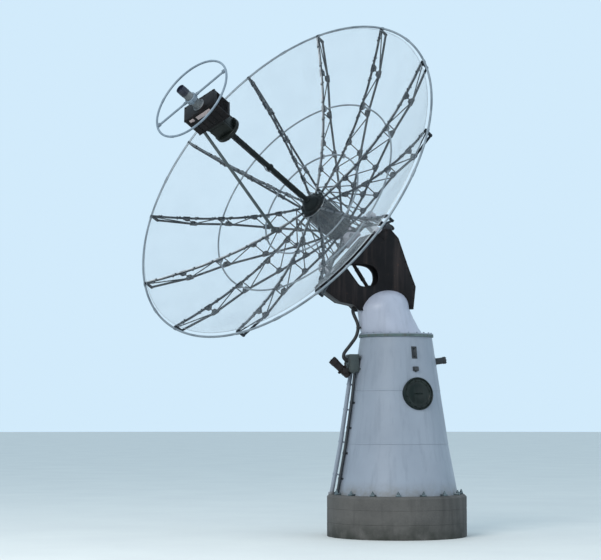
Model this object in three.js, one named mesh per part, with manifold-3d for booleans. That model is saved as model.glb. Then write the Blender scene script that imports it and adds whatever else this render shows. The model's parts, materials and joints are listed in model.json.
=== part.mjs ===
// Radio telescope dish: an open mesh paraboloid with a prime focus feed on a
// tilted polar mount, carried by a tapered steel pedestal on a concrete plinth.
// Millimetres. +Z is up, +X is north (the raised end of the polar axis) and -Y
// is east. The origin is the centre of the plinth's underside.
import * as THREE from 'three';
import { mergeVertices } from 'three/addons/utils/BufferGeometryUtils.js';
import Module from 'manifold-3d';

const wasm = await Module();
wasm.setup();

const seatGap = 0.35; // between pieces that rest on each other
const radian = Math.PI / 180;

// Dish
const dishRadius = 2500;
const dishDepth = 750;
const ribCount = 12;
const chordWidth = 32;
const braceWidth = 16;
const meshThickness = 2;
const panelCount = 6;
const panelColumns = 4; // flats across a panel
const meshPitch = (2 * dishRadius) / 12; // openings as solids show them, far coarser than the wires
const meshBar = 22;
const meshHem = 26;
const leastOpening = 3000; // mm2, smaller corners of the grid stay closed
const rimTube = 15;
const hoopTube = 12;

// Distances along the dish axis from the declination axis
const rimHeight = 1450;
const vertexHeight = rimHeight - dishDepth;

// Places and attitude of the axes as the dish stands
const polarPoint = new THREE.Vector3(-660, 0, 4155);
const latitude = 47.4 * radian;
const hourAngle = 27 * radian; // towards the east
const declination = -9.6 * radian;
const axisOffset = 150; // declination axis ahead of the polar axis

// Hub
const drumRadius = 175;
const drumWall = 10;
const drumFoot = 100;
const drumTop = 726;
const hubPlateThickness = 25;
const lugInner = 140;
const lugThickness = 25;
const lugHalfWidth = 62;

// Bearings and shafts
const polarShaftRadius = 45;
const declinationShaftRadius = 35;
const shaftSides = 24;
const boreSlack = 0.9;
const southBearing = -560;
const northBearing = 330;
const bearingLength = 80;
const bearingRadius = 85;

// Feed
const boomRadius = 35;
const boomTop = 2500;
const neckWidth = 260;
const neckTop = 2775;
const neckFlangeRadius = 185;
const neckFlangeThickness = 60;
const boxWidth = 520;
const boxDepth = 280;
const boxTop = 3090;
const boxAngle = 228 * radian;
const caseWall = 6;
const cableHole = 60; // half width, inside the neck
const feedRingRadius = 595;
const feedRingTube = 15;
const feedRingHeight = 3240;
const snoutRadius = 62;
const snoutTop = 3460;
const feedBarAngle = 240 * radian;

// Pedestal
const plinthRadius = 975;
const plinthHeight = 580;
const bodyWall = 12;
const bodyTop = 2765;
const flangeRadius = 525;
const flangeInside = 360;
const flangeThickness = 50;
const neckTopHeight = 3430;

// Polar frame
const plateOffset = 130;
const plateThickness = 26;
const deckDepth = 105; // frame top below the polar axis
const ledgeDepth = 230; // north bearing's seat below the polar axis
const webInset = 3;
const webThickness = 20;
const braceTube = 25;

const steelDark = 0x3b4148;
const steelGrey = 0x8b9096;
const mountBlack = 0x1d1b1d;
const paleBlue = 0xaab7c8;
const fittingGrey = 0x3f4a4a;
const fittingDark = 0x24282b;

function material(color, roughness, metalness) {
  return new THREE.MeshStandardMaterial({ color, roughness, metalness });
}

function piece(name, geometry, finish) {
  const mesh = new THREE.Mesh(geometry, finish);
  mesh.name = name;
  return mesh;
}

// Booleans

function solidOf(geometry) {
  const bare = geometry.clone();
  bare.deleteAttribute('normal');
  bare.deleteAttribute('uv');
  const merged = mergeVertices(bare, 1e-3);
  const mesh = new wasm.Mesh({
    numProp: 3,
    vertProperties: new Float32Array(merged.attributes.position.array),
    triVerts: new Uint32Array(merged.index.array),
  });
  return new wasm.Manifold(mesh);
}

function geometryOf(solid) {
  const mesh = solid.getMesh();
  const geometry = new THREE.BufferGeometry();
  geometry.setAttribute('position', new THREE.BufferAttribute(new Float32Array(mesh.vertProperties), 3));
  geometry.setIndex(new THREE.BufferAttribute(new Uint32Array(mesh.triVerts), 1));
  geometry.computeVertexNormals();
  return geometry;
}

function fuse(geometries) {
  let solid = solidOf(geometries[0]);
  for (const geometry of geometries.slice(1)) {
    solid = solid.add(solidOf(geometry));
  }
  return geometryOf(solid);
}

function cut(geometry, tools) {
  let solid = solidOf(geometry);
  for (const tool of tools) {
    solid = solid.subtract(solidOf(tool));
  }
  return geometryOf(solid);
}

// Plain shapes

function box(low, high) {
  const size = new THREE.Vector3(high[0] - low[0], high[1] - low[1], high[2] - low[2]);
  const geometry = new THREE.BoxGeometry(size.x, size.y, size.z);
  geometry.translate((low[0] + high[0]) / 2, (low[1] + high[1]) / 2, (low[2] + high[2]) / 2);
  return geometry;
}

function turnTo(geometry, start, end) {
  const direction = end.clone().sub(start).normalize();
  const turn = new THREE.Quaternion().setFromUnitVectors(new THREE.Vector3(0, 1, 0), direction);
  geometry.applyQuaternion(turn);
  const middle = start.clone().add(end).multiplyScalar(0.5);
  geometry.translate(middle.x, middle.y, middle.z);
  return geometry;
}

function rod(start, end, radius, sides, endRadius = radius) {
  const geometry = new THREE.CylinderGeometry(endRadius, radius, start.distanceTo(end), sides);
  return turnTo(geometry, start, end);
}

function bar(start, end, width) {
  return turnTo(new THREE.BoxGeometry(width, start.distanceTo(end), width), start, end);
}

// Profile points are [radius, height] pairs, turned about Z
function turned(points, segments, start = 0) {
  const geometry = new THREE.LatheGeometry(points.map(([r, z]) => new THREE.Vector2(r, z)), segments, start);
  geometry.rotateX(Math.PI / 2);
  return geometry;
}

// A ring whose flats have their middles at the radius, one of them at each rib
function hoop(radius, height, tube, segments) {
  const corner = radius / Math.cos(Math.PI / segments);
  const profile = [];
  for (let i = 0; i < ringSides; i += 1) {
    const angle = (i + 0.5) * 2 * Math.PI / ringSides;
    profile.push([corner + tube * Math.cos(angle), height + tube * Math.sin(angle)]);
  }
  profile.push(profile[0]);
  return turned(profile, segments, Math.PI / segments);
}

// Outline points are [x, z] pairs, extruded along Y from y to y + thickness
function plate(points, y, thickness, holes = []) {
  const shape = new THREE.Shape(points.map(([x, z]) => new THREE.Vector2(x, z)));
  for (const hole of holes) {
    shape.holes.push(new THREE.Path(hole.map(([x, z]) => new THREE.Vector2(x, z))));
  }
  const geometry = new THREE.ExtrudeGeometry(shape, { depth: thickness, bevelEnabled: false });
  geometry.rotateX(Math.PI / 2);
  geometry.translate(0, y + thickness, 0);
  return geometry;
}

// Frames of the two axes

const polarAxis = new THREE.Vector3(Math.cos(latitude), 0, Math.sin(latitude));
const meridian = new THREE.Vector3(-Math.sin(latitude), 0, Math.cos(latitude));
const crossAxis = new THREE.Vector3(0, -1, 0).applyAxisAngle(polarAxis, hourAngle);
const dishSide = meridian.clone().applyAxisAngle(polarAxis, hourAngle);
const dishAxis = dishSide.clone().multiplyScalar(Math.cos(declination))
  .addScaledVector(polarAxis, Math.sin(declination));

// Polar frame: x along the declination axis, y away from the dish, z along the polar axis
const polarFrame = new THREE.Group();
polarFrame.matrix.makeBasis(crossAxis, polarAxis.clone().cross(crossAxis), polarAxis);
polarFrame.matrix.setPosition(polarPoint);
polarFrame.matrix.decompose(polarFrame.position, polarFrame.quaternion, polarFrame.scale);

// Dish frame: x along the declination axis, z out along the dish axis
const dishFrame = new THREE.Group();
const dishOrigin = polarPoint.clone().addScaledVector(dishAxis, axisOffset);
dishFrame.matrix.makeBasis(crossAxis, dishAxis.clone().cross(crossAxis), dishAxis);
dishFrame.matrix.setPosition(dishOrigin);
dishFrame.matrix.decompose(dishFrame.position, dishFrame.quaternion, dishFrame.scale);

// Fixed frame of the bearings: x east, y away from the dish, z along the polar axis
const bearingFrame = new THREE.Group();
const east = new THREE.Vector3(0, -1, 0);
bearingFrame.matrix.makeBasis(east, polarAxis.clone().cross(east), polarAxis);
bearingFrame.matrix.setPosition(polarPoint);
bearingFrame.matrix.decompose(bearingFrame.position, bearingFrame.quaternion, bearingFrame.scale);

// Point of the meridian plane from a distance along and above the polar axis
function meridianPoint(along, above) {
  const point = polarPoint.clone().addScaledVector(polarAxis, along).addScaledVector(meridian, above);
  return [point.x, point.z];
}

// Pedestal

const neckLean = [
  [2815, -60],
  [2900, -105],
  [3170, -190],
  [3430, -140],
];

function neckCentre(height) {
  for (let i = 1; i < neckLean.length; i += 1) {
    const [low, lowShift] = neckLean[i - 1];
    const [high, highShift] = neckLean[i];
    if (height <= high) {
      return lowShift + (highShift - lowShift) * (height - low) / (high - low);
    }
  }
  return neckLean[neckLean.length - 1][1];
}

function neckSolid(spare) {
  const base = bodyTop + flangeThickness + seatGap - spare;
  const top = neckTopHeight + spare;
  const profile = [
    [0, base],
    [430 + spare, base],
    [415 + spare, 2900],
    [385 + spare, 3040],
    [366 + spare, 3170],
    [335 + spare, 3262],
    [275 + spare, 3345],
    [195 + spare, 3400],
    [110 + spare, top],
    [0, top],
  ];
  const geometry = turned(profile, 40);
  const place = geometry.attributes.position;
  for (let i = 0; i < place.count; i += 1) {
    place.setX(i, place.getX(i) + neckCentre(place.getZ(i)));
  }
  return geometry;
}

const wallStations = [
  [plinthHeight, 855],
  [655, 838],
  [1285, 722],
  [bodyTop, 505],
];
const wallSlope = Math.atan((722 - 505) / (bodyTop - 1285));

function pedestalRadius(height) {
  for (let i = 1; i < wallStations.length; i += 1) {
    const [low, lowRadius] = wallStations[i - 1];
    const [high, highRadius] = wallStations[i];
    if (height <= high) {
      return lowRadius + (highRadius - lowRadius) * (height - low) / (high - low);
    }
  }
  return wallStations[wallStations.length - 1][1];
}

// Solid of the pedestal's body, a seat gap larger, that the fittings on its wall are cut with
function wallSolid() {
  const profile = wallStations.map(([z, radius]) => [radius + seatGap, z]);
  return turned([[0, plinthHeight], ...profile, [0, bodyTop]], 48);
}

function flankPoint(angle, height, distance) {
  const radius = pedestalRadius(height) + distance;
  return new THREE.Vector3(Math.cos(angle) * radius, Math.sin(angle) * radius, height);
}

// Moves shapes made with x around the wall, y up and z outward to their place on it
function ontoWall(geometry, angle, height, slope = wallSlope) {
  const outward = new THREE.Vector3(
    Math.cos(angle) * Math.cos(slope),
    Math.sin(angle) * Math.cos(slope),
    Math.sin(slope),
  );
  const around = new THREE.Vector3(-Math.sin(angle), Math.cos(angle), 0);
  const frame = new THREE.Matrix4().makeBasis(around, outward.clone().cross(around), outward);
  return geometry.applyMatrix4(frame.setPosition(flankPoint(angle, height, 0)));
}

function outwardRod(low, high, radius, sides) {
  return rod(new THREE.Vector3(0, 0, low), new THREE.Vector3(0, 0, high), radius, sides);
}

function pedestal() {
  const group = new THREE.Group();
  const concrete = material(0x4c4a48, 0.95, 0);
  const paint = material(paleBlue, 0.5, 0.1);
  const flangePaint = material(0x566a66, 0.6, 0.2);
  const plinth = turned([[0, 0], [plinthRadius, 0], [plinthRadius, plinthHeight - 30],
    [plinthRadius - 30, plinthHeight], [0, plinthHeight]], 48);
  group.add(piece('plinth', plinth, concrete));

  const foot = plinthHeight + seatGap;
  const levels = [foot, ...wallStations.slice(1).map(([z]) => z)];
  const profile = levels.map((z) => [pedestalRadius(z), z]);
  const inner = levels.reverse().map((z) => [pedestalRadius(z) - bodyWall, z]);
  const shell = turned([...profile, ...inner, profile[0]], 48);
  group.add(piece('pedestal_body', shell, paint));

  const flangeFoot = bodyTop + seatGap;
  const flangeTop = bodyTop + flangeThickness;
  const flange = turned([[flangeInside, flangeFoot], [flangeRadius, flangeFoot], [flangeRadius, flangeTop],
    [flangeInside, flangeTop], [flangeInside, flangeFoot]], 48);
  group.add(piece('body_flange', flange, flangePaint));
  const mouthCentre = neckCentre(2830);
  const mouthFoot = new THREE.Vector3(mouthCentre, 0, bodyTop - 65);
  const mouthTop = new THREE.Vector3(mouthCentre, 0, bodyTop + 85);
  const mouth = rod(mouthFoot, mouthTop, 380, 40);
  group.add(piece('neck_dome', cut(neckSolid(0), [neckSolid(-bodyWall), mouth]), paint));
  return group;
}

// Round inspection port, on a collar that follows the pedestal's slope
const portAngle = -78.3 * radian;
const portHeight = 1972;
const portRadius = 205;
const portRim = 22;
const portCoverDepth = 12;
const wallReach = 60; // how far a fitting's blank runs into the wall before it is cut

function port() {
  const group = new THREE.Group();
  const body = wallSolid();
  const blank = outwardRod(-wallReach, portRim, portRadius + portRim, 32);
  const bore = outwardRod(-wallReach - 20, portRim + 20, portRadius, 32);
  const collar = ontoWall(cut(blank, [bore]), portAngle, portHeight);
  const disc = outwardRod(-wallReach, portCoverDepth, portRadius - seatGap, 32);
  const cover = ontoWall(disc, portAngle, portHeight);
  group.add(piece('port_collar', cut(collar, [body]), material(paleBlue, 0.5, 0.1)));
  group.add(piece('port_cover', cut(cover, [body]), material(0x1b2b28, 0.35, 0.1)));
  return group;
}

// Cabinet on the south flank, with the pipes that run to it and a lamp beside it
const cabinetAngle = 178 * radian;
const cabinetFoot = 2276;
const cabinetTop = 2530;
const cabinetHalfWidth = 130;
const cabinetDepth = 160;
const conduitAngle = 184 * radian;
const conduitRadius = 22;
const riserAngle = 170 * radian;
const riserRadius = 30;
const riserDistance = 65;
const upperConduitRadius = 24;

function cabinetSolid(spare) {
  const halfHeight = (cabinetTop - cabinetFoot) / 2 + spare;
  const halfWidth = cabinetHalfWidth + spare;
  const blank = box([-halfWidth, -halfHeight, -wallReach], [halfWidth, halfHeight, cabinetDepth + spare]);
  return ontoWall(blank, cabinetAngle, (cabinetTop + cabinetFoot) / 2, 0);
}

function pipe(points, radius, steps) {
  const section = new THREE.Shape().absarc(0, 0, radius, 0, 2 * Math.PI);
  const run = new THREE.CatmullRomCurve3(points);
  return new THREE.ExtrudeGeometry(section, {
    steps, bevelEnabled: false, curveSegments: 5, extrudePath: run,
  });
}

function cabinet() {
  const group = new THREE.Group();
  const metal = material(fittingGrey, 0.5, 0.6);
  const brown = material(0x2b211c, 0.7, 0.1);
  const pale = material(paleBlue, 0.5, 0.1);
  group.add(piece('junction_box', cut(cabinetSolid(0), [wallSolid()]), metal));

  const clearOfCabinet = cabinetSolid(seatGap);
  const pipeFoot = plinthHeight + seatGap;
  const pipeTop = cabinetFoot - seatGap;
  const ends = [
    box([-1200, -1200, 0], [1200, 1200, pipeFoot]),
    box([-1200, -1200, pipeTop], [1200, 1200, 3000]),
  ];
  const conduit = pipe([
    flankPoint(conduitAngle, pipeTop + 4, 42),
    flankPoint(conduitAngle, 2120, 38),
    flankPoint(conduitAngle, 1960, 32),
    flankPoint(conduitAngle, 1285, 30),
    flankPoint(conduitAngle, pipeFoot + 60, 30),
    flankPoint(conduitAngle, pipeFoot - 4, 30),
  ], conduitRadius, 24);
  group.add(piece('conduit', cut(conduit, ends), metal));
  const riserStations = [pipeTop + 4, 1900, 1285, 655, pipeFoot - 4];
  const riser = pipe(riserStations.map((z) => flankPoint(riserAngle, z, riserDistance)), riserRadius, 16);
  group.add(piece('cable_riser', cut(riser, ends), pale));

  const lampTop = new THREE.Vector3(-936, 0, 2449);
  const lampFoot = new THREE.Vector3(-691, 0, 2222);
  const lamp = rod(lampFoot, lampTop, 52, 16, 60);
  group.add(piece('work_lamp', cut(lamp, [clearOfCabinet]), brown));
  return group;
}

// Small fittings on the near side of the wall
const handleAngle = -80 * radian;
const handleHeight = 2540;
const gripBar = 16;
const gripLength = 132;
const gripReach = 50;
const socketHeight = 2313;
const lugAngle = -8 * radian;
const lugHeight = 2430;
const lugRadius = 52;
const lugReach = 155;

function fittings() {
  const group = new THREE.Group();
  const metal = material(fittingGrey, 0.5, 0.6);
  const dark = material(fittingDark, 0.6, 0.3);
  const body = wallSolid();

  const lug = ontoWall(outwardRod(-wallReach, lugReach, lugRadius, 16), lugAngle, lugHeight);
  group.add(piece('side_lug', cut(lug, [body]), metal));

  const half = gripBar / 2;
  const end = gripLength / 2;
  const handle = fuse([
    box([-40, -85, -wallReach], [40, 85, 6]),
    box([-half, -end, -2], [half, gripBar - end, gripReach]),
    box([-half, end - gripBar, -2], [half, end, gripReach]),
    box([-half, -end, gripReach - gripBar], [half, end, gripReach]),
  ]);
  group.add(piece('grab_handle', cut(ontoWall(handle, handleAngle, handleHeight), [body]), metal));

  const socket = ontoWall(box([-40, -30, -wallReach], [40, 30, 40]), handleAngle, socketHeight);
  group.add(piece('wall_socket', cut(socket, [body]), dark));
  return group;
}

// Wedge frame that carries the polar axis

const hypotenuse = [
  meridianPoint(-850, -deckDepth),
  meridianPoint(140, -deckDepth),
  meridianPoint(255, -180),
  meridianPoint(262, -ledgeDepth),
  meridianPoint(390, -ledgeDepth),
  [-120, 4290],
];
const northEdge = [[-120, 4290], [0, 4160], [130, 3790], [250, 3480], [215, 3160]];
const southEdge = [[-575, 3130], [-660, 3210], [-860, 3250], hypotenuse[0]];
const plateOutline = [...hypotenuse, ...northEdge.slice(1), ...southEdge.slice(0, -1)];
const windowOutline = [
  [-795, 3768],
  [-570, 3468],
  [-440, 3462],
  [-345, 3476],
  [-292, 3560],
  [-300, 3680],
  [-370, 3762],
  [-480, 3790],
  [-700, 3790],
];

// Outline of a plate that follows an edge just inside it, its ends set back along the edge
function edgeStrip(points, setBack) {
  const line = points.map(([x, z]) => new THREE.Vector2(x, z));
  const last = line.length - 1;
  line[0].add(line[1].clone().sub(line[0]).setLength(setBack));
  line[last].add(line[last - 1].clone().sub(line[last]).setLength(setBack));
  const inward = (i) => new THREE.Vector2(line[i + 1].y - line[i].y, line[i].x - line[i + 1].x).normalize();
  const shifted = (i, distance) => {
    const before = inward(Math.max(i - 1, 0));
    const after = inward(Math.min(i, last - 1));
    const mitre = before.clone().add(after).divideScalar(1 + before.dot(after));
    return line[i].clone().addScaledVector(mitre, distance).toArray();
  };
  const outer = line.map((point, i) => shifted(i, webInset));
  const inner = line.map((point, i) => shifted(i, webInset + webThickness));
  return [...outer, ...inner.reverse()];
}

function wedgeFrame() {
  const group = new THREE.Group();
  const black = material(mountBlack, 0.55, 0.3);
  const neck = neckSolid(seatGap);
  const belowNeck = box([-520, -300, 3000], [120, 300, 3200]);
  for (const [name, side] of [['frame_plate_east', -1], ['frame_plate_west', 1]]) {
    const y = side * plateOffset - plateThickness / 2;
    const outline = plate(plateOutline, y, plateThickness, [windowOutline]);
    group.add(piece(name, cut(outline, [neck, belowNeck]), black));
  }
  const inside = plateOffset - plateThickness / 2 - seatGap;
  const web = (points) => plate(points, -inside, 2 * inside);
  const deck = web(edgeStrip(hypotenuse, 8));
  const south = web(edgeStrip(southEdge, 30));
  group.add(piece('frame_deck', deck, black));
  group.add(piece('frame_north_web', cut(web(edgeStrip(northEdge, 30)), [neck]), black));
  group.add(piece('frame_south_web', cut(south, [neck]), black));
  const crown = box([-330, -inside, 3400], [20, inside, 3470]);
  group.add(piece('frame_crown_web', cut(crown, [neck]), black));

  // Brace seen through the window, from the deck down to the neck
  const braceTop = new THREE.Vector3(-711, 0, 3925);
  const braceFoot = new THREE.Vector3(-355, 0, 3375);
  const aboveBrace = deck.clone().translate(0, 0, -seatGap / polarAxis.x);
  const brace = rod(braceFoot, braceTop, braceTube, 16);
  group.add(piece('frame_brace', cut(brace, [neck, aboveBrace]), black));

  // Flexible conduit from the south web down to the cabinet
  const route = [
    [-609, 3179], [-637, 3150], [-620, 3080], [-572, 2990], [-549, 2900], [-583, 2770],
    [-690, 2630], [-765, 2540], [-770, 2475], [-735, 2446], [-705, 2442],
  ];
  const flexible = pipe(route.map(([x, z]) => new THREE.Vector3(x, 0, z)), upperConduitRadius, 32);
  const aboveEnd = south.clone().translate(-seatGap, 0, -seatGap);
  const fitted = cut(flexible, [aboveEnd, cabinetSolid(seatGap)]);
  group.add(piece('upper_conduit', fitted, material(fittingDark, 0.6, 0.3)));
  return group;
}

// Bearings and hour drive, in the fixed polar frame

const bearingWidth = 2 * plateOffset + plateThickness;
const footHeight = 28;

function pillowBlock(name, along, depth) {
  const low = depth - seatGap;
  const half = bearingWidth / 2;
  const shape = new THREE.Shape();
  shape.moveTo(-half, low);
  shape.lineTo(half, low);
  shape.lineTo(half, low - footHeight);
  shape.lineTo(bearingRadius, 20);
  shape.absarc(0, 0, bearingRadius, 0, -Math.PI, true);
  shape.lineTo(-bearingRadius, 20);
  shape.lineTo(-half, low - footHeight);
  const block = new THREE.ExtrudeGeometry(shape, {
    depth: bearingLength, bevelEnabled: false, curveSegments: 10,
  });
  block.translate(0, 0, along - bearingLength / 2);
  const start = new THREE.Vector3(0, 0, along - bearingLength);
  const end = new THREE.Vector3(0, 0, along + bearingLength);
  const bore = rod(start, end, polarShaftRadius + boreSlack, shaftSides);
  return piece(name, cut(block, [bore]), material(steelGrey, 0.45, 0.6));
}

// Hour sector and the pinion that turns it
const sectorRadius = 186;
const sectorThickness = 20;
const sectorFoot = 450;
const pinionRadius = 24;
const pinionCentre = sectorRadius + pinionRadius + 8;

function hourDrive() {
  const reach = bearingWidth / 2;
  const housing = box([-80, 240, 400], [80, 345, 515]);
  const motor = rod(new THREE.Vector3(0, 325, 510), new THREE.Vector3(0, 325, 550), 45, 16);
  const pinionFoot = new THREE.Vector3(0, pinionCentre, sectorFoot - 10);
  const pinionTop = new THREE.Vector3(0, pinionCentre, sectorFoot + sectorThickness + 12);
  const pinion = rod(pinionFoot, pinionTop, pinionRadius, 16);
  const pinionArm = box([-26, 200, pinionTop.z - 4], [26, 262, pinionTop.z + 16]);
  const flange = box([-reach, 236, 380], [reach, 340, 470]);
  const frameEdge = plate(plateOutline.map(([x, z]) => [x + seatGap, z + seatGap]), -2 * reach, 4 * reach);
  bearingFrame.updateMatrixWorld(true);
  frameEdge.applyMatrix4(bearingFrame.matrixWorld.clone().invert());
  const seated = fuse([cut(fuse([housing, flange]), [frameEdge]), motor, pinion, pinionArm]);
  return piece('hour_gearbox', seated, material(0x2a2b2d, 0.5, 0.4));
}

function bearings() {
  bearingFrame.add(pillowBlock('south_bearing', southBearing, deckDepth));
  bearingFrame.add(pillowBlock('north_bearing', northBearing, ledgeDepth));
  bearingFrame.add(hourDrive());
  return bearingFrame;
}

// Polar axle, its yoke and the hour sector

function polarBody() {
  const start = new THREE.Vector3(0, 0, southBearing - 90);
  const end = new THREE.Vector3(0, 0, sectorFoot + 40);
  const axle = rod(start, end, polarShaftRadius, shaftSides);
  polarFrame.add(piece('polar_axle', axle, material(steelGrey, 0.35, 0.8)));

  const offset = -axisOffset * Math.cos(declination);
  const lean = axisOffset * Math.sin(declination);
  const sleeve = rod(new THREE.Vector3(0, 0, -130), new THREE.Vector3(0, 0, 130), 75, shaftSides);
  const housingEnds = [-128, 128].map((x) => new THREE.Vector3(x, offset, lean));
  const housing = rod(housingEnds[0], housingEnds[1], 60, shaftSides);
  const saddle = box([-60, offset, lean - 55], [60, 0, lean + 55]);
  const axleBore = rod(start, end, polarShaftRadius + seatGap, shaftSides);
  const crossBore = rod(new THREE.Vector3(-200, offset, lean), new THREE.Vector3(200, offset, lean),
    declinationShaftRadius + boreSlack, shaftSides);
  const yoke = cut(fuse([sleeve, housing, saddle]), [axleBore, crossBore]);
  polarFrame.add(piece('polar_yoke', yoke, material(0x77757c, 0.5, 0.4)));

  const reach = 80 * radian;
  const outline = new THREE.Shape();
  outline.absarc(0, 0, sectorRadius, Math.PI / 2 - reach, Math.PI / 2 + reach);
  outline.absarc(0, 0, 70, Math.PI / 2 + reach, Math.PI / 2 - reach + 2 * Math.PI);
  const sector = new THREE.ExtrudeGeometry(outline, {
    depth: sectorThickness, bevelEnabled: false, curveSegments: 20,
  });
  sector.translate(0, 0, sectorFoot);
  const sectorBore = rod(start, end, polarShaftRadius + seatGap, shaftSides);
  polarFrame.add(piece('hour_sector', cut(sector, [sectorBore]), material(steelDark, 0.5, 0.6)));
  return polarFrame;
}

// Dish

function frontHeight(radius) {
  return vertexHeight + dishDepth * (radius / dishRadius) ** 2;
}

function frontPoint(radius, offset) {
  const slope = 2 * dishDepth * radius / dishRadius ** 2;
  const length = Math.hypot(1, slope);
  return [radius - offset * slope / length, frontHeight(radius) + offset / length];
}

const ribStart = drumRadius + seatGap;
const ringSegments = 60;
const ringSides = 6;
const ringInside = dishRadius - rimTube * Math.cos(Math.PI / ringSides);
const ribEnd = ringInside - seatGap;
const midRingRadius = 1500;
const innerRingRadius = 800;
const chordStations = [
  ribStart, 400, 600, innerRingRadius, 1025, 1250, midRingRadius, 1750, 2000, 2250, ribEnd,
];
const backChord = [
  [ribStart, 118],
  [300, 168],
  [500, 260],
  [1000, 540],
  [1500, 820],
  [2000, 1032],
  [ribEnd - chordWidth / 2, 1318],
];
const braceFeet = [300, 600, 1000, 1440, 1560, 2000];

function backHeight(radius) {
  for (let i = 1; i < backChord.length; i += 1) {
    const [low, lowHeight] = backChord[i - 1];
    const [high, highHeight] = backChord[i];
    if (radius <= high) {
      return lowHeight + (highHeight - lowHeight) * (radius - low) / (high - low);
    }
  }
  return backChord[backChord.length - 1][1];
}

const skinOffset = chordWidth / 2 + seatGap + 0.4; // mesh underside above the chord's centre line

function ribGeometry() {
  const half = chordWidth / 2;
  const upper = chordStations.map((radius) => frontPoint(radius, half));
  const lower = chordStations.map((radius) => frontPoint(radius, -half));
  upper[0][0] = ribStart;
  lower[0][0] = ribStart;
  upper[upper.length - 1][0] = ribEnd;
  lower[lower.length - 1][0] = ribEnd;
  const front = plate([...upper, ...lower.reverse()], -half, chordWidth);
  const backTop = backChord.map(([r, z]) => [r, z + half]);
  const backFoot = backChord.map(([r, z]) => [r, z - half]);
  const parts = [front, plate([...backTop, ...backFoot.reverse()], -half, chordWidth)];
  parts.push(box([ribEnd - chordWidth, -half, 1300], [ribEnd, half, rimHeight - 20]));
  parts.push(box([ribStart, -half, 102], [ribStart + chordWidth, half, frontHeight(ribStart)]));
  const feet = braceFeet.map((radius) => new THREE.Vector3(radius, 0, backHeight(radius)));
  const heads = braceFeet.map((radius) => new THREE.Vector3(radius, 0, frontHeight(radius)));
  for (let i = 0; i < feet.length; i += 1) {
    parts.push(bar(feet[i], heads[i], braceWidth));
  }
  for (let i = 1; i < feet.length; i += 1) {
    if (i !== 4) {
      parts.push(bar(feet[i], heads[i - 1], braceWidth));
    }
  }
  parts.push(bar(feet[feet.length - 1], new THREE.Vector3(2460, 0, 1400), braceWidth));
  return fuse(parts);
}

function panelGeometry(span, stations) {
  const positions = [];
  for (const offset of [skinOffset, skinOffset + meshThickness]) {
    for (const radius of stations) {
      const [r, z] = frontPoint(radius, offset);
      for (let j = 0; j <= panelColumns; j += 1) {
        const angle = span * j / panelColumns;
        positions.push(r * Math.cos(angle), r * Math.sin(angle), z);
      }
    }
  }
  const row = panelColumns + 1;
  const layer = row * stations.length;
  const faces = [];
  const quad = (a, b, c, d) => faces.push(a, b, c, a, c, d);
  for (let i = 0; i < stations.length - 1; i += 1) {
    for (let j = 0; j < panelColumns; j += 1) {
      const a = i * row + j;
      quad(a, a + 1, a + row + 1, a + row);
      quad(layer + a, layer + a + row, layer + a + row + 1, layer + a + 1);
    }
    const first = i * row;
    quad(first, first + row, layer + first + row, layer + first);
    const last = first + panelColumns;
    quad(last, layer + last, layer + last + row, last + row);
  }
  const lastRow = (stations.length - 1) * row;
  for (let j = 0; j < panelColumns; j += 1) {
    quad(j, layer + j, layer + j + 1, j + 1);
    quad(lastRow + j, lastRow + j + 1, layer + lastRow + j + 1, layer + lastRow + j);
  }
  const geometry = new THREE.BufferGeometry();
  geometry.setAttribute('position', new THREE.BufferAttribute(new Float32Array(positions), 3));
  geometry.setIndex(faces);
  geometry.computeVertexNormals();
  return geometry;
}

// Square openings of one panel, kept off its hems, cut straight along the dish axis
function meshOpenings(span, stations) {
  const inner = stations[0] + meshHem;
  const outer = stations[stations.length - 1] * Math.cos(span / panelColumns / 2) - meshHem;
  const hemAngle = (radius) => Math.asin(meshHem / radius);
  const outline = new THREE.Shape();
  outline.absarc(0, 0, outer, hemAngle(outer), span - hemAngle(outer));
  outline.absarc(0, 0, inner, span - hemAngle(inner), hemAngle(inner), true);
  const depth = 2 * rimHeight;
  const inside = solidOf(new THREE.ExtrudeGeometry(outline, { depth, bevelEnabled: false, curveSegments: 6 }));
  const rows = Math.ceil(dishRadius / meshPitch);
  const openings = [];
  for (let i = 0; i < rows; i += 1) {
    for (let j = -rows; j < rows; j += 1) {
      const low = [i * meshPitch + meshBar / 2, j * meshPitch + meshBar / 2, 0];
      const high = [(i + 1) * meshPitch - meshBar / 2, (j + 1) * meshPitch - meshBar / 2, depth];
      const prism = box(low, high).rotateZ(span / 2);
      const opening = solidOf(prism).intersect(inside);
      if (opening.volume() > leastOpening * depth) {
        openings.push(opening);
      }
    }
  }
  return openings;
}

// Hoop that lies against the back of the front chords
function chordHoop(station, segments) {
  const slope = Math.atan(2 * dishDepth * station / dishRadius ** 2);
  const behind = chordWidth / 2 + hoopTube * Math.cos(slope) + seatGap;
  const [radius, height] = frontPoint(station, -behind);
  return hoop(radius, height, hoopTube, segments);
}

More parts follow.
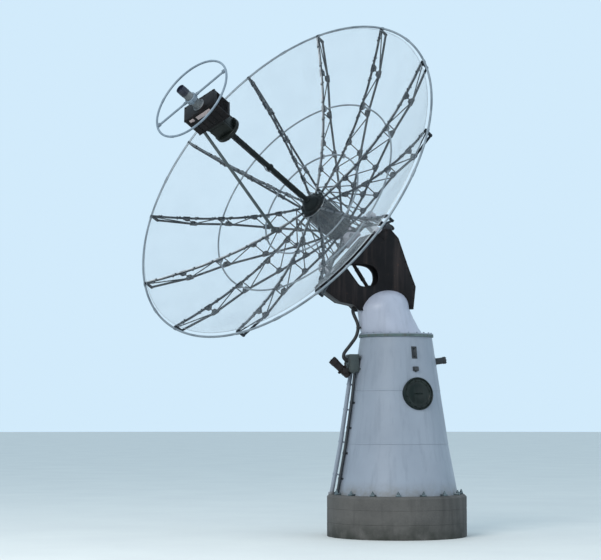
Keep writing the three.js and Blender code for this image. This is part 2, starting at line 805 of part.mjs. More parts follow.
function reflector() {
  const ribSteel = material(steelDark, 0.5, 0.6);
  const hoopSteel = material(steelGrey, 0.45, 0.6);
  const wire = material(0xa9adb2, 0.5, 0.6);
  const rib = ribGeometry();
  for (let i = 0; i < ribCount; i += 1) {
    const mesh = piece(`rib_${String(i + 1).padStart(2, '0')}`, rib, ribSteel);
    mesh.rotation.z = i * 2 * Math.PI / ribCount;
    dishFrame.add(mesh);
  }
  dishFrame.add(piece('rim_ring', hoop(dishRadius, rimHeight - 30, rimTube, ringSegments), hoopSteel));
  dishFrame.add(piece('mid_ring', chordHoop(midRingRadius, ringSegments), hoopSteel));
  dishFrame.add(piece('inner_ring', chordHoop(innerRingRadius, 36), hoopSteel));

  const gap = 0.12 * radian;
  const span = 2 * Math.PI / panelCount;
  const stations = [210, ...chordStations.slice(1, -1), 2478];
  let lattice = solidOf(panelGeometry(span - gap, stations));
  for (const opening of meshOpenings(span - gap, stations)) {
    lattice = lattice.subtract(opening);
  }
  const panel = geometryOf(lattice);
  for (let i = 0; i < panelCount; i += 1) {
    const mesh = piece(`mesh_panel_${i + 1}`, panel, wire);
    mesh.rotation.z = i * span + gap / 2;
    dishFrame.add(mesh);
  }
}

function hub() {
  const grey = material(0x77757c, 0.5, 0.4);
  const dark = material(0x26282c, 0.5, 0.5);
  const drum = turned([
    [drumRadius, drumFoot + seatGap],
    [drumRadius, drumTop],
    [drumRadius - drumWall, drumTop],
    [drumRadius - drumWall, drumFoot + seatGap],
    [drumRadius, drumFoot + seatGap],
  ], 48);
  dishFrame.add(piece('hub_drum', drum, dark));

  const plateFoot = drumFoot - hubPlateThickness;
  const disc = rod(new THREE.Vector3(0, 0, plateFoot), new THREE.Vector3(0, 0, drumFoot), drumRadius, 48);
  const lug = (side) => {
    const low = side > 0 ? lugInner : -lugInner - lugThickness;
    const upright = box([low, -lugHalfWidth, 0], [low + lugThickness, lugHalfWidth, plateFoot + 5]);
    const eyeStart = new THREE.Vector3(low, 0, 0);
    const eyeEnd = new THREE.Vector3(low + lugThickness, 0, 0);
    return [upright, rod(eyeStart, eyeEnd, lugHalfWidth, shaftSides)];
  };
  const bore = rod(new THREE.Vector3(-300, 0, 0), new THREE.Vector3(300, 0, 0),
    declinationShaftRadius + seatGap, shaftSides);
  dishFrame.add(piece('hub_base', cut(fuse([disc, ...lug(1), ...lug(-1)]), [bore]), grey));

  const axleEnd = new THREE.Vector3(lugInner + lugThickness + 25, 0, 0);
  const axle = rod(axleEnd.clone().negate(), axleEnd, declinationShaftRadius, shaftSides);
  dishFrame.add(piece('declination_axle', axle, material(steelGrey, 0.35, 0.8)));

  const foot = drumTop + seatGap;
  const boss = turned([[0, foot], [drumRadius, foot], [drumRadius, foot + 18], [120, foot + 45],
    [80, foot + 110], [0, foot + 110]], 32);
  dishFrame.add(piece('vertex_boss', boss, dark));
  return foot + 110;
}

// Prime focus feed on its boom

function feed(boomFoot) {
  const black = material(0x151416, 0.45, 0.2);
  const along = (z) => new THREE.Vector3(0, 0, z);
  const boom = rod(along(boomFoot + seatGap), along(boomTop), boomRadius, 20);
  dishFrame.add(piece('feed_boom', boom, material(0x202225, 0.45, 0.5)));

  const half = neckWidth / 2;
  const hollow = half - caseWall;
  const neckFoot = boomTop + seatGap;
  const neckFloor = boomTop + neckFlangeThickness;
  const neckFlange = rod(along(neckFoot), along(neckFloor), neckFlangeRadius, 32);
  const neck = cut(fuse([box([-half, -half, neckFoot], [half, half, neckTop]), neckFlange]),
    [box([-hollow, -hollow, neckFloor], [hollow, hollow, neckTop + caseWall])]);
  neck.rotateZ(boxAngle);
  dishFrame.add(piece('feed_neck', neck, material(0x2c2a30, 0.5, 0.3)));
  const inside = [boxWidth / 2 - caseWall, boxDepth / 2 - caseWall];
  const shell = box([-boxWidth / 2, -boxDepth / 2, neckTop + seatGap], [boxWidth / 2, boxDepth / 2, boxTop]);
  const can = cut(shell, [
    box([-inside[0], -inside[1], neckTop + caseWall], [inside[0], inside[1], boxTop - caseWall]),
    box([-cableHole, -cableHole, neckTop - caseWall], [cableHole, cableHole, neckTop + 2 * caseWall]),
  ]);
  can.rotateZ(boxAngle);
  dishFrame.add(piece('feed_box', can, black));

  const snout = rod(along(boxTop + seatGap), along(snoutTop), snoutRadius, 24);
  dishFrame.add(piece('feed_snout', snout, material(0x4a4d55, 0.45, 0.4)));

  const ring = hoop(feedRingRadius, feedRingHeight, feedRingTube, 36);
  const end = new THREE.Vector3(feedRingRadius, 0, 0).applyAxisAngle(along(1), feedBarAngle);
  const low = end.clone().negate().add(along(feedRingHeight));
  const high = end.clone().add(along(feedRingHeight));
  const cross = rod(low, high, feedRingTube, 8);
  const collar = rod(along(feedRingHeight - 30), along(feedRingHeight + 30), snoutRadius + 20, 24);
  const bore = rod(along(feedRingHeight - 60), along(feedRingHeight + 60), snoutRadius + seatGap, 24);
  const ringParts = fuse([ring, cross, collar]);
  dishFrame.add(piece('feed_ring', cut(ringParts, [bore]), material(0x35383c, 0.5, 0.4)));

  dishFrame.add(piece('feed_strut', strutGeometry(), material(steelDark, 0.5, 0.5)));
}

// Strut from a rib to the foot of the feed box, made in the rib's plane and turned to it
function strutGeometry() {
  const inPlane = ([radius, height]) => new THREE.Vector3(radius, 0, height);
  const padThickness = 12;
  const padMiddle = skinOffset + meshThickness + seatGap + padThickness / 2;
  const pad = bar(inPlane(frontPoint(600, padMiddle)), inPlane(frontPoint(700, padMiddle)), padThickness);
  const lug = box([200, -24, neckTop - 60], [250, 24, neckTop]);
  const tube = rod(inPlane(frontPoint(650, padMiddle)), new THREE.Vector3(226, 0, neckTop - 30), 22, 12);
  const strut = fuse([pad, lug, tube]);
  const meshTop = skinOffset + meshThickness + seatGap + 0.5;
  const around = chordStations.slice(1, 4);
  const under = plate([...around.map((radius) => frontPoint(radius, meshTop)), frontPoint(around[2], 0),
    frontPoint(around[0], 0)], -60, 120);
  const trimmed = cut(strut, [under]);
  trimmed.rotateZ(feedBarAngle);
  return trimmed;
}

const telescope = new THREE.Group();
telescope.add(pedestal());
telescope.add(port());
telescope.add(cabinet());
telescope.add(fittings());
telescope.add(wedgeFrame());
telescope.add(bearings());
telescope.add(polarBody());
reflector();
feed(hub());
telescope.add(dishFrame);
telescope.updateMatrixWorld(true);

export default telescope;
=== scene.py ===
import json
from itertools import product
from math import atan, atan2, cos, hypot, pi, radians, sin, tau

import bmesh
import bpy
from mathutils import Matrix, Vector


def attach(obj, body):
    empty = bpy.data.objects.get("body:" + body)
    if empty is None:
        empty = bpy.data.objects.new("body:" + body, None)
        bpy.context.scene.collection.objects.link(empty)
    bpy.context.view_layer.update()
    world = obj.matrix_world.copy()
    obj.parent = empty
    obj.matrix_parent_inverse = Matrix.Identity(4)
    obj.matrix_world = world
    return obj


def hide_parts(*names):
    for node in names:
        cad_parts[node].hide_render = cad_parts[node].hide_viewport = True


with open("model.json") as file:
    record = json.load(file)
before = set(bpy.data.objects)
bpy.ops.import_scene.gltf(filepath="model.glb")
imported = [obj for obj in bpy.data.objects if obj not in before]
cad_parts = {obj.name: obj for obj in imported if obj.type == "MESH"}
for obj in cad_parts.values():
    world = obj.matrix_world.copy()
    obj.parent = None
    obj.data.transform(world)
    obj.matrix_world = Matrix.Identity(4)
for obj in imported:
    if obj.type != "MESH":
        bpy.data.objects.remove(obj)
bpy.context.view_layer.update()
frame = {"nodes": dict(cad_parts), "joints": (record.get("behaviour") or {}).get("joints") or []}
nodes = frame["nodes"]
print("frame loaded,", len(nodes), "nodes")


def jointNamed(name):
    return next(joint for joint in frame["joints"] if joint["name"] == name)


def basis(across, along, origin):
    matrix = Matrix((across, along.cross(across), along)).transposed().to_4x4()
    matrix.translation = origin
    return matrix


def middleOf(name):
    corners = [vertex.co for vertex in nodes[name].data.vertices]
    return sum(corners, Vector()) / len(corners)


polarAxis = Vector(jointNamed("hour_angle")["axis"]).normalized()
polarPoint = Vector(jointNamed("hour_angle")["pos_m"])
crossAxis = Vector(jointNamed("declination")["axis"]).normalized()
dishPoint = Vector(jointNamed("declination")["pos_m"])
dishAxis = (middleOf("feed_snout") - dishPoint).normalized()
dishPlace = basis(crossAxis, dishAxis, dishPoint)  # x the tilt axis, z out of the bowl
east = Vector((0, -1, 0))
meridian = east.cross(polarAxis)
seatPlace = basis(east, meridian, polarPoint)  # y along the polar axis, z towards the dish
yokePlace = basis(crossAxis, crossAxis.cross(polarAxis), polarPoint)
seatGap = 0.00035  # left between two pieces that bear on each other
facingX = Matrix.Rotation(pi / 2, 4, "Y")
facingY = Matrix.Rotation(-pi / 2, 4, "X")
facingBack = Matrix.Rotation(pi, 4, "X")


def valueAt(pairs, place):
    # straight from one (place, value) pair to the next
    for (low, start), (high, end) in zip(pairs, pairs[1:]):
        if place <= high:
            return start + (end - start) * (place - low) / (high - low)
    return pairs[-1][1]


def clearSelection():
    if bpy.context.mode != "OBJECT":
        bpy.ops.object.mode_set(mode="OBJECT")
    bpy.ops.object.select_all(action="DESELECT")


def take(piece):
    clearSelection()
    piece.select_set(True)
    bpy.context.view_layer.objects.active = piece
    return piece


def openMesh(piece, mode="VERT", action="SELECT"):
    take(piece)
    bpy.ops.object.mode_set(mode="EDIT")
    bpy.ops.mesh.select_mode(type=mode)
    bpy.ops.mesh.select_all(action=action)


def pickVerts(piece, test):
    shape = bmesh.from_edit_mesh(piece.data)
    for vertex in shape.verts:
        vertex.select_set(test(vertex.co))
    shape.select_flush_mode()
    bmesh.update_edit_mesh(piece.data)


def pickFaces(piece, test):
    shape = bmesh.from_edit_mesh(piece.data)
    for face in shape.faces:
        face.select_set(test(face.calc_center_median(), face.normal))
    bmesh.update_edit_mesh(piece.data)


def closeMesh():
    bpy.ops.object.mode_set(mode="OBJECT")


def sealMesh():
    # every face turned outward
    bpy.ops.mesh.select_all(action="SELECT")
    bpy.ops.mesh.normals_make_consistent(inside=False)
    closeMesh()


def drawOut(step):
    bpy.ops.mesh.extrude_region_move(TRANSFORM_OT_translate={"value": step})


def shift(x, y, z):
    return Matrix.Translation((x, y, z))


def applyPlace(piece):
    take(piece)
    bpy.ops.object.transform_apply(location=True, rotation=True, scale=True)
    return piece


def settle(piece, matrix):
    take(piece)
    piece.matrix_world = matrix @ piece.matrix_world
    return applyPlace(piece)


def soften(piece, width, segments=2, angle=30):
    take(piece)
    bevel = piece.modifiers.new("edges", "BEVEL")
    bevel.width = width
    bevel.segments = segments
    bevel.limit_method = "ANGLE"
    bevel.angle_limit = radians(angle)
    bevel.use_clamp_overlap = True
    bpy.ops.object.modifier_apply(modifier=bevel.name)
    return smooth(piece)


def smooth(piece, angle=32):
    take(piece)
    bpy.ops.object.shade_smooth_by_angle(angle=radians(angle))
    return piece


def drill(piece, cutter):
    take(piece)
    hole = piece.modifiers.new("hole", "BOOLEAN")
    hole.operation = "DIFFERENCE"
    hole.object = cutter
    bpy.ops.object.modifier_apply(modifier=hole.name)
    bpy.data.objects.remove(cutter)
    return piece


def joined(pieces):
    clearSelection()
    for piece in pieces:
        piece.select_set(True)
    bpy.context.view_layer.objects.active = pieces[0]
    bpy.ops.object.join()
    return bpy.context.object


def copyAt(piece, matrix):
    twin = piece.copy()
    twin.data = piece.data.copy()
    bpy.context.scene.collection.objects.link(twin)
    return settle(twin, matrix)


def copiesAt(piece, matrices):
    twins = [copyAt(piece, matrix) for matrix in matrices]
    bpy.data.objects.remove(piece)
    return joined(twins)


def sided(turn, side):
    return turn if side > 0 else turn.inverted()


def turnAbout(angle):
    return Matrix.Rotation(angle, 4, "Z")


def around(count, start=0.0):
    return [turnAbout(start + tau * i / count) for i in range(count)]


def rotationTo(direction):
    return direction.to_track_quat("Z", "Y").to_euler()


def block(low, high):
    clearSelection()
    low, high = Vector(low), Vector(high)
    bpy.ops.mesh.primitive_cube_add(size=1, location=(low + high) / 2)
    piece = bpy.context.object
    piece.scale = high - low
    return applyPlace(piece)


def slab(low, high, edge, segments=2):
    return soften(block(low, high), edge, segments)


def pad(wide, deep, low, high, edge, segments=2):
    # a slab centred on Z, by its half sizes
    return slab((-wide, -deep, low), (wide, deep, high), edge, segments)


def rod(start, end, radius, sides=16):
    clearSelection()
    start, end = Vector(start), Vector(end)
    bpy.ops.mesh.primitive_cone_add(
        vertices=sides, radius1=radius, radius2=radius, depth=(end - start).length,
        location=(start + end) / 2, rotation=rotationTo(end - start))
    return applyPlace(bpy.context.object)


def discAt(place, facing, radius, sides):
    # left open, to be drawn out into a tube
    clearSelection()
    bpy.ops.mesh.primitive_circle_add(vertices=sides, radius=radius, fill_type="NGON", location=place,
                                      rotation=rotationTo(facing))
    disc = applyPlace(bpy.context.object)
    openMesh(disc)
    return disc


def faceTurned(facing, nextFacing, centre):
    turn = facing.rotation_difference(nextFacing).to_euler("XYZ")
    for axis, angle in zip("XYZ", turn):
        # with no window the operator turns the other way
        bpy.ops.transform.rotate(value=-angle, orient_axis=axis, center_override=centre)


def bentTube(points, radius, sides=10):
    points = [Vector(point) for point in points]
    runs = [(b - a).normalized() for a, b in zip(points, points[1:])]
    piece = discAt(points[0], runs[0], radius, sides)
    facing = runs[0]
    for i in range(1, len(points)):
        drawOut(points[i] - points[i - 1])
        nextFacing = (runs[i - 1] + runs[i]).normalized() if i < len(runs) else runs[-1]
        faceTurned(facing, nextFacing, points[i])
        facing = nextFacing
    sealMesh()
    return smooth(piece, 40)


def rounded(points, reach, steps=4):
    # the corners of a path, turned into short bends
    points = [Vector(point) for point in points]
    path = [points[0]]
    for before, corner, after in zip(points, points[1:], points[2:]):
        start, end = [corner + (point - corner).normalized() * min(reach, (point - corner).length * 0.45)
                      for point in (before, after)]
        for i in range(steps + 1):
            t = i / steps
            path.append(start * (1 - t) ** 2 + corner * 2 * t * (1 - t) + end * t ** 2)
    path.append(points[-1])
    return path


def line(points):
    # one vertex, drawn out from corner to corner
    points = [Vector(point) for point in points]
    clearSelection()
    bpy.ops.mesh.primitive_plane_add(size=0.01)
    piece = bpy.context.object
    openMesh(piece)
    bpy.ops.mesh.merge(type="CENTER")
    bpy.ops.transform.translate(value=points[0])
    for before, after in zip(points, points[1:]):
        bpy.ops.mesh.extrude_vertices_move(TRANSFORM_OT_translate={"value": after - before})
    closeMesh()
    return piece


def spun(piece, steps, angle=32):
    # once round Z, with the seam closed
    openMesh(piece)
    bpy.ops.mesh.spin(steps=steps, angle=tau, center=(0, 0, 0), axis=(0, 0, 1))
    bpy.ops.mesh.select_all(action="SELECT")
    bpy.ops.mesh.remove_doubles(threshold=0.00005)
    sealMesh()
    return smooth(piece, angle)


def turned(profile, steps=96, closed=False):
    # profile points are (radius, height)
    points = [(radius, 0, height) for radius, height in profile]
    return spun(line(points + points[:1] if closed else points), steps)


def hoop(inner, outer, low, high, steps):
    return turned([(inner, low), (outer, low), (outer, high), (inner, high)], steps, closed=True)


def bandAt(radius, height, rise, half, flat):
    # a raised band on a profile, or a groove
    return [(radius, height - half), (radius + rise, height - flat),
            (radius + rise, height + flat), (radius, height + half)]


def flatPlate(points, y, thickness):
    # outline points are (x, z), drawn out along Y
    piece = line([(x, y, z) for x, z in points])
    openMesh(piece)
    bpy.ops.mesh.edge_face_add()
    drawOut((0, thickness, 0))
    sealMesh()
    return piece


def hexBolt(across, washer=0.0):
    # head up Z from the face it is screwed to, on a washer
    head = rod((0, 0, 0), (0, 0, across * 0.62), across * 0.577, 6)
    openMesh(head, "FACE", "DESELECT")
    pickFaces(head, lambda centre, normal: normal.z > 0.9)
    bpy.ops.mesh.inset(thickness=across * 0.07)
    bpy.ops.transform.translate(value=(0, 0, across * 0.06))
    closeMesh()
    if washer:
        disc = rod((0, 0, 0), (0, 0, across * 0.14), washer, 14)
        head = joined([head, disc])
    return smooth(head, 25)


def screwsAt(across, spots, turn=None):
    turn = turn or Matrix.Identity(4)
    return copiesAt(hexBolt(across, across * 0.72), [shift(*spot) @ turn for spot in spots])


def grid(*ranges):
    return list(product(*ranges))


def boltRing(across, radius, height, count, start=0.0, washer=0.0):
    return copiesAt(settle(hexBolt(across, washer), shift(radius, 0, height)), around(count, start))


def placeBetween(start, end):
    # z from the first point to the second
    start, end = Vector(start), Vector(end)
    return shift(*start) @ (end - start).to_track_quat("Z", "Y").to_matrix().to_4x4()


def nodeOf(name):
    # the model's node of the same name, where there is one
    node = "".join("_" + letter.lower() if letter.isupper() else letter for letter in name)
    return [node] if node in nodes else []


def dress(parts, name, body, finish, replaces=None, place=None):
    piece = joined(parts) if isinstance(parts, list) else parts
    if place:
        settle(piece, place)
    piece.name = name
    piece.data.name = name
    piece.data.materials.clear()
    piece.data.materials.append(finish)
    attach(piece, body)
    replaces = replaces or nodeOf(name)
    if replaces:
        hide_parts(*replaces)
    return piece


def srgb(color):
    shares = [value / 255 for value in color]
    return [s / 12.92 if s <= 0.04045 else ((s + 0.055) / 1.055) ** 2.4 for s in shares] + [1.0]


class Finish:
    # a material with short ways to add its nodes

    def __init__(self, name):
        self.material = bpy.data.materials.new(name)
        self.material.use_nodes = True
        self.tree = self.material.node_tree
        self.shader = self.tree.nodes["Principled BSDF"]
        self.place = self.tree.nodes.new("ShaderNodeTexCoord").outputs["Object"]
        self.heights = []

    def join(self, output, socket):
        self.tree.links.new(output, socket)

    def node(self, kind, inputs):
        # each input takes another node's output, or a value
        node = self.tree.nodes.new("ShaderNode" + kind)
        if kind == "Mix":
            node.data_type = "RGBA"
        for name, value in inputs.items():
            if hasattr(value, "links"):
                self.join(value, node.inputs[name])
            else:
                node.inputs[name].default_value = value
        return node

    def noise(self, scale, detail=4.0, rough=0.55, stretch=(1, 1, 1)):
        mapping = self.node("Mapping", {"Scale": stretch, "Vector": self.place})
        return self.node("TexNoise", {"Scale": scale, "Detail": detail, "Roughness": rough,
                                      "Vector": mapping.outputs["Vector"]}).outputs["Fac"]

    def cells(self, scale):
        return self.node("TexVoronoi", {"Scale": scale, "Vector": self.place})

    def between(self, value, low, high, toLow=0.0, toHigh=1.0):
        return self.node("MapRange", {"From Min": low, "From Max": high, "To Min": toLow, "To Max": toHigh,
                                      "Value": value}).outputs["Result"]

    def height(self, low, high):
        split = self.node("SeparateXYZ", {"Vector": self.place})
        return self.between(split.outputs["Z"], low, high)

    def times(self, first, second, operation="MULTIPLY"):
        node = self.node("Math", {0: first, 1: second})
        node.operation = operation
        return node.outputs["Value"]

    def mixed(self, amount, first, second):
        # sockets 6 and 7 are the colors, and 0 the share of the second
        first, second = [c if hasattr(c, "links") else srgb(c) for c in (first, second)]
        return self.node("Mix", {0: amount, 6: first, 7: second}).outputs[2]

    def bump(self, value, strength, distance):
        node = self.node("Bump", {"Strength": strength, "Distance": distance, "Height": value})
        if self.heights:
            self.join(self.heights[-1], node.inputs["Normal"])
        self.heights.append(node.outputs["Normal"])

    def done(self, color, rough, metal=None):
        self.join(color, self.shader.inputs["Base Color"])
        self.join(rough, self.shader.inputs["Roughness"])
        if metal:
            self.join(metal, self.shader.inputs["Metallic"])
        if self.heights:
            self.join(self.heights[-1], self.shader.inputs["Normal"])
        return self.material


usualPaint = {
    "cloud": 9, "streak": 22, "drop": 0.06, "runs": 0.45, "chip": 34, "chipEdge": 0.665,
    "rough": (0.32, 0.52), "peel": 260, "shine": 0.5,
}


def paintFinish(name, look):
    # brushed or sprayed paint: mottling, rain streaks, dust at the foot, chips
    finish = Finish(name)
    look = {**usualPaint, **look}
    cloud = finish.noise(look["cloud"], 5)
    color = finish.mixed(finish.between(cloud, 0.32, 0.7), look["color"], look["second"])
    run = finish.noise(look["streak"], 6, 0.6, (1, 1, look["drop"]))
    runs = finish.times(finish.between(run, 0.5, 0.72), look["runs"])
    color = finish.mixed(runs, color, look["stain"])
    if "foot" in look:
        low, high = look["foot"]
        dust = finish.times(finish.height(high, low), finish.between(finish.noise(7, 6, 0.7), 0.3, 0.7))
        color = finish.mixed(dust, color, look["dust"])
    chip = finish.between(finish.noise(look["chip"], 9, 0.72), look["chipEdge"], look["chipEdge"] + 0.03)
    color = finish.mixed(chip, color, look["bare"])
    rough = finish.between(cloud, 0.25, 0.75, *look["rough"])
    rough = finish.times(rough, finish.times(chip, 0.25), "ADD")
    finish.bump(finish.noise(look["peel"], 3), 0.12, 0.0012)
    finish.bump(chip, 0.25, -0.0006)
    finish.shader.inputs["Specular IOR Level"].default_value = look["shine"]
    return finish.done(color, rough)


def zincFinish(name, look):
    # hot dip zinc with its spangle, dulled and spotted
    finish = Finish(name)
    spangle = finish.cells(look["spangle"])
    grain = finish.between(spangle.outputs["Color"], 0.0, 1.0)
    color = finish.mixed(grain, look["color"], look["second"])
    dull = finish.between(finish.noise(look["cloud"], 6), 0.42, 0.66)
    color = finish.mixed(dull, color, look["dull"])
    spot = finish.between(finish.noise(look["spots"], 9, 0.75), 0.62, 0.68)
    color = finish.mixed(spot, color, look["rust"])
    rough = finish.between(grain, 0, 1, *look["rough"])
    rough = finish.times(rough, finish.times(spot, 0.3), "ADD")
    metal = finish.times(finish.times(spot, look["metal"]), -1.0)
    metal = finish.times(metal, look["metal"], "ADD")
    finish.bump(finish.noise(look["spots"] * 3, 3), 0.1, 0.0006)
    return finish.done(color, rough, metal)


def turnedSteelFinish(name, look):
    # machined steel with tool marks and a film of old oil
    finish = Finish(name)
    marks = finish.noise(look["marks"], 2, 0.5)
    color = finish.mixed(finish.between(marks, 0.3, 0.7), look["color"], look["second"])
    film = finish.between(finish.noise(9, 6, 0.65), 0.45, 0.7)
    color = finish.mixed(finish.times(film, 0.6), color, look["oil"])
    rough = finish.between(film, 0, 1, *look["rough"])
    finish.bump(marks, 0.08, 0.0004)
    finish.shader.inputs["Metallic"].default_value = 0.9
    return finish.done(color, rough)


def concreteFinish(name, look):
    # cast concrete: sand, pits, stains from above and damp at the foot
    finish = Finish(name)
    cloud = finish.noise(1.6, 8, 0.65)
    color = finish.mixed(finish.between(cloud, 0.35, 0.68), look["color"], look["second"])
    sand = finish.noise(95, 4, 0.7)
    color = finish.mixed(finish.between(sand, 0.45, 0.75, 0, 0.35), color, look["light"])
    run = finish.between(finish.noise(3.2, 6, 0.6, (1, 1, 0.12)), 0.5, 0.68)
    color = finish.mixed(finish.times(run, 0.7), color, look["stain"])
    damp = finish.times(finish.height(0.3, 0.0), finish.between(finish.noise(5, 6), 0.3, 0.6))
    color = finish.mixed(damp, color, look["damp"])
    pits = finish.between(finish.cells(38).outputs["Distance"], 0.02, 0.13)
    rough = finish.between(sand, 0.2, 0.8, 0.78, 0.98)
    finish.bump(sand, 0.35, 0.002)
    finish.bump(pits, 0.5, 0.002)
    finish.bump(cloud, 0.5, 0.02)
    return finish.done(color, rough)


# white pedestal paint, darkened to the blue-grey it shows in shade: painted shade
shadedPalePaint = paintFinish("pale shell paint in painted shade", {
    "color": (140, 147, 158), "second": (131, 138, 149), "stain": (107, 114, 124),
    "dust": (112, 108, 102), "bare": (104, 98, 92), "cloud": 1.4, "streak": 11, "runs": 0.4,
    "foot": (0.58, 0.78), "chip": 17, "chipEdge": 0.7, "rough": (0.34, 0.58), "shine": 0.4, "peel": 160,
})
# the shell's white paint, painted lighter where the dome faces the sky: painted light
skyLitDomePaint = paintFinish("dome paint with painted sky light", {
    "color": (171, 174, 187), "second": (161, 165, 179), "stain": (130, 134, 146),
    "bare": (120, 108, 100), "cloud": 2.2, "streak": 9, "runs": 0.4, "chip": 15, "chipEdge": 0.71,
    "rough": (0.3, 0.5), "peel": 160,
})
flangePaint = paintFinish("flange paint", {
    "color": (84, 101, 99), "second": (66, 82, 82), "stain": (74, 62, 50), "bare": (96, 66, 44),
    "cloud": 6, "streak": 26, "runs": 0.7, "chipEdge": 0.6, "rough": (0.45, 0.7),
})
portPaint = paintFinish("port paint", {
    "color": (14, 28, 24), "second": (9, 18, 16), "stain": (32, 42, 38), "bare": (70, 72, 66),
    "cloud": 8, "streak": 24, "runs": 0.5, "chip": 30, "chipEdge": 0.68, "rough": (0.25, 0.45),
    "peel": 240, "shine": 0.2,
})
boxPaint = paintFinish("junction box paint", {
    "color": (38, 31, 30), "second": (28, 23, 23), "stain": (62, 48, 40), "bare": (98, 76, 58),
    "runs": 0.5, "chip": 40, "chipEdge": 0.65, "rough": (0.4, 0.65), "peel": 240, "shine": 0.25,
})
mountPaint = paintFinish("mount black", {
    "color": (12, 11, 13), "second": (26, 22, 24), "stain": (56, 47, 45), "bare": (104, 72, 54),
    "cloud": 3.2, "streak": 9, "runs": 0.75, "chip": 26, "chipEdge": 0.655, "rough": (0.3, 0.52),
    "peel": 200, "shine": 0.15,
})
gearboxPaint = paintFinish("gearbox grey", {
    "color": (48, 50, 54), "second": (38, 40, 44), "stain": (64, 58, 52), "bare": (104, 78, 60),
    "runs": 0.5, "chipEdge": 0.66, "rough": (0.32, 0.55), "shine": 0.25,
})
hubPaint = paintFinish("hub paint", {
    "color": (36, 39, 41), "second": (47, 45, 46), "stain": (66, 60, 58), "bare": (110, 84, 68),
    "cloud": 7, "streak": 20, "runs": 0.5, "chip": 30, "chipEdge": 0.655, "rough": (0.35, 0.55),
    "peel": 220, "shine": 0.2,
})
# light grey cradle paint, made paler to stand in for bright highlights on the yoke and hub base: partly
# painted highlight
cradleHighlitPaint = paintFinish("cradle paint with painted highlights", {
    "color": (172, 168, 176), "second": (150, 145, 154), "stain": (104, 94, 96), "bare": (98, 66, 48),
    "streak": 24, "runs": 0.6, "chip": 32, "chipEdge": 0.63, "rough": (0.38, 0.6), "peel": 220,
})
# dark blue-grey rib paint, taken darker to the tone the ribs show in shade: partly painted shade
ribShadedPaint = paintFinish("rib paint with painted shade", {
    "color": (24, 31, 37), "second": (18, 24, 29), "stain": (42, 48, 54), "bare": (90, 68, 54),
    "streak": 24, "rough": (0.35, 0.55), "shine": 0.15,
})
boomPaint = paintFinish("boom paint", {
    "color": (20, 26, 27), "second": (15, 19, 20), "stain": (46, 52, 52), "bare": (82, 72, 62),
    "cloud": 8, "streak": 20, "runs": 0.4, "chipEdge": 0.675, "rough": (0.3, 0.48), "shine": 0.15,
})
feedPaint = paintFinish("feed black", {
    "color": (12, 11, 12), "second": (20, 17, 18), "stain": (44, 35, 34), "bare": (110, 88, 80),
    "cloud": 6, "streak": 17, "runs": 0.4, "chip": 30, "chipEdge": 0.67, "rough": (0.26, 0.46),
    "peel": 240, "shine": 0.15,
})
neckPaint = paintFinish("feed neck paint", {
    "color": (24, 29, 25), "second": (15, 19, 18), "stain": (46, 46, 40), "bare": (104, 84, 66),
    "cloud": 8, "streak": 20, "chip": 32, "rough": (0.3, 0.52), "peel": 250, "shine": 0.2,
})
snoutPaint = paintFinish("snout grey", {
    "color": (100, 104, 106), "second": (84, 88, 92), "stain": (66, 66, 66), "bare": (118, 100, 84),
    "cloud": 10, "streak": 26, "chip": 40, "chipEdge": 0.67, "rough": (0.3, 0.5), "peel": 280,
})
tipPaint = paintFinish("snout tip", {
    "color": (26, 31, 48), "second": (18, 22, 36), "stain": (52, 56, 70), "bare": (90, 92, 98),
    "cloud": 10, "streak": 24, "runs": 0.35, "chip": 40, "chipEdge": 0.68, "rough": (0.25, 0.42),
    "peel": 280,
})
strutPaint = paintFinish("strut paint", {
    "color": (80, 88, 90), "second": (67, 75, 77), "stain": (84, 86, 84), "bare": (104, 86, 72),
    "chipEdge": 0.67,
})
feedRingPaint = paintFinish("feed ring paint", {
    "color": (112, 126, 138), "second": (94, 108, 120), "stain": (76, 84, 92), "bare": (120, 100, 86),
    "chipEdge": 0.67,
})
cabinetPaint = paintFinish("cabinet grey", {
    "color": (60, 68, 67), "second": (48, 56, 56), "stain": (72, 62, 53), "bare": (112, 82, 60),
    "cloud": 8, "runs": 0.55, "chip": 36, "chipEdge": 0.65, "rough": (0.38, 0.6), "peel": 240,
})
fittingDark = paintFinish("fitting dark", {
    "color": (38, 42, 46), "second": (28, 32, 36), "stain": (62, 60, 56), "bare": (100, 84, 70),
    "cloud": 12, "streak": 30, "runs": 0.4, "chip": 44, "chipEdge": 0.66, "rough": (0.35, 0.55),
    "peel": 280,
})
conduitRubber = paintFinish("conduit rubber", {
    "color": (36, 38, 40), "second": (28, 29, 31), "stain": (68, 64, 58), "bare": (52, 50, 48),
    "cloud": 12, "streak": 18, "runs": 0.5, "chip": 30, "chipEdge": 0.68, "rough": (0.6, 0.8),
    "peel": 300,
})
ringZinc = zincFinish("ring zinc", {
    "color": (116, 126, 134), "second": (134, 143, 150), "dull": (98, 108, 116), "rust": (100, 78, 62),
    "spangle": 70, "cloud": 5, "spots": 26, "rough": (0.38, 0.58), "metal": 0.4,
})
wireZinc = zincFinish("wire zinc", {
    "color": (160, 168, 174), "second": (178, 184, 188), "dull": (132, 139, 146), "rust": (126, 98, 76),
    "spangle": 240, "cloud": 3, "spots": 14, "rough": (0.35, 0.5), "metal": 0.6,
})
fittingZinc = zincFinish("fitting zinc", {
    "color": (96, 108, 112), "second": (120, 130, 134), "dull": (78, 86, 88), "rust": (104, 74, 52),
    "spangle": 90, "cloud": 8, "spots": 24, "rough": (0.35, 0.55), "metal": 0.75,
})
bearingCast = zincFinish("bearing casting", {
    "color": (172, 173, 180), "second": (184, 184, 190), "dull": (146, 146, 154), "rust": (108, 80, 62),
    "spangle": 30, "cloud": 7, "spots": 30, "rough": (0.4, 0.6), "metal": 0.35,
})
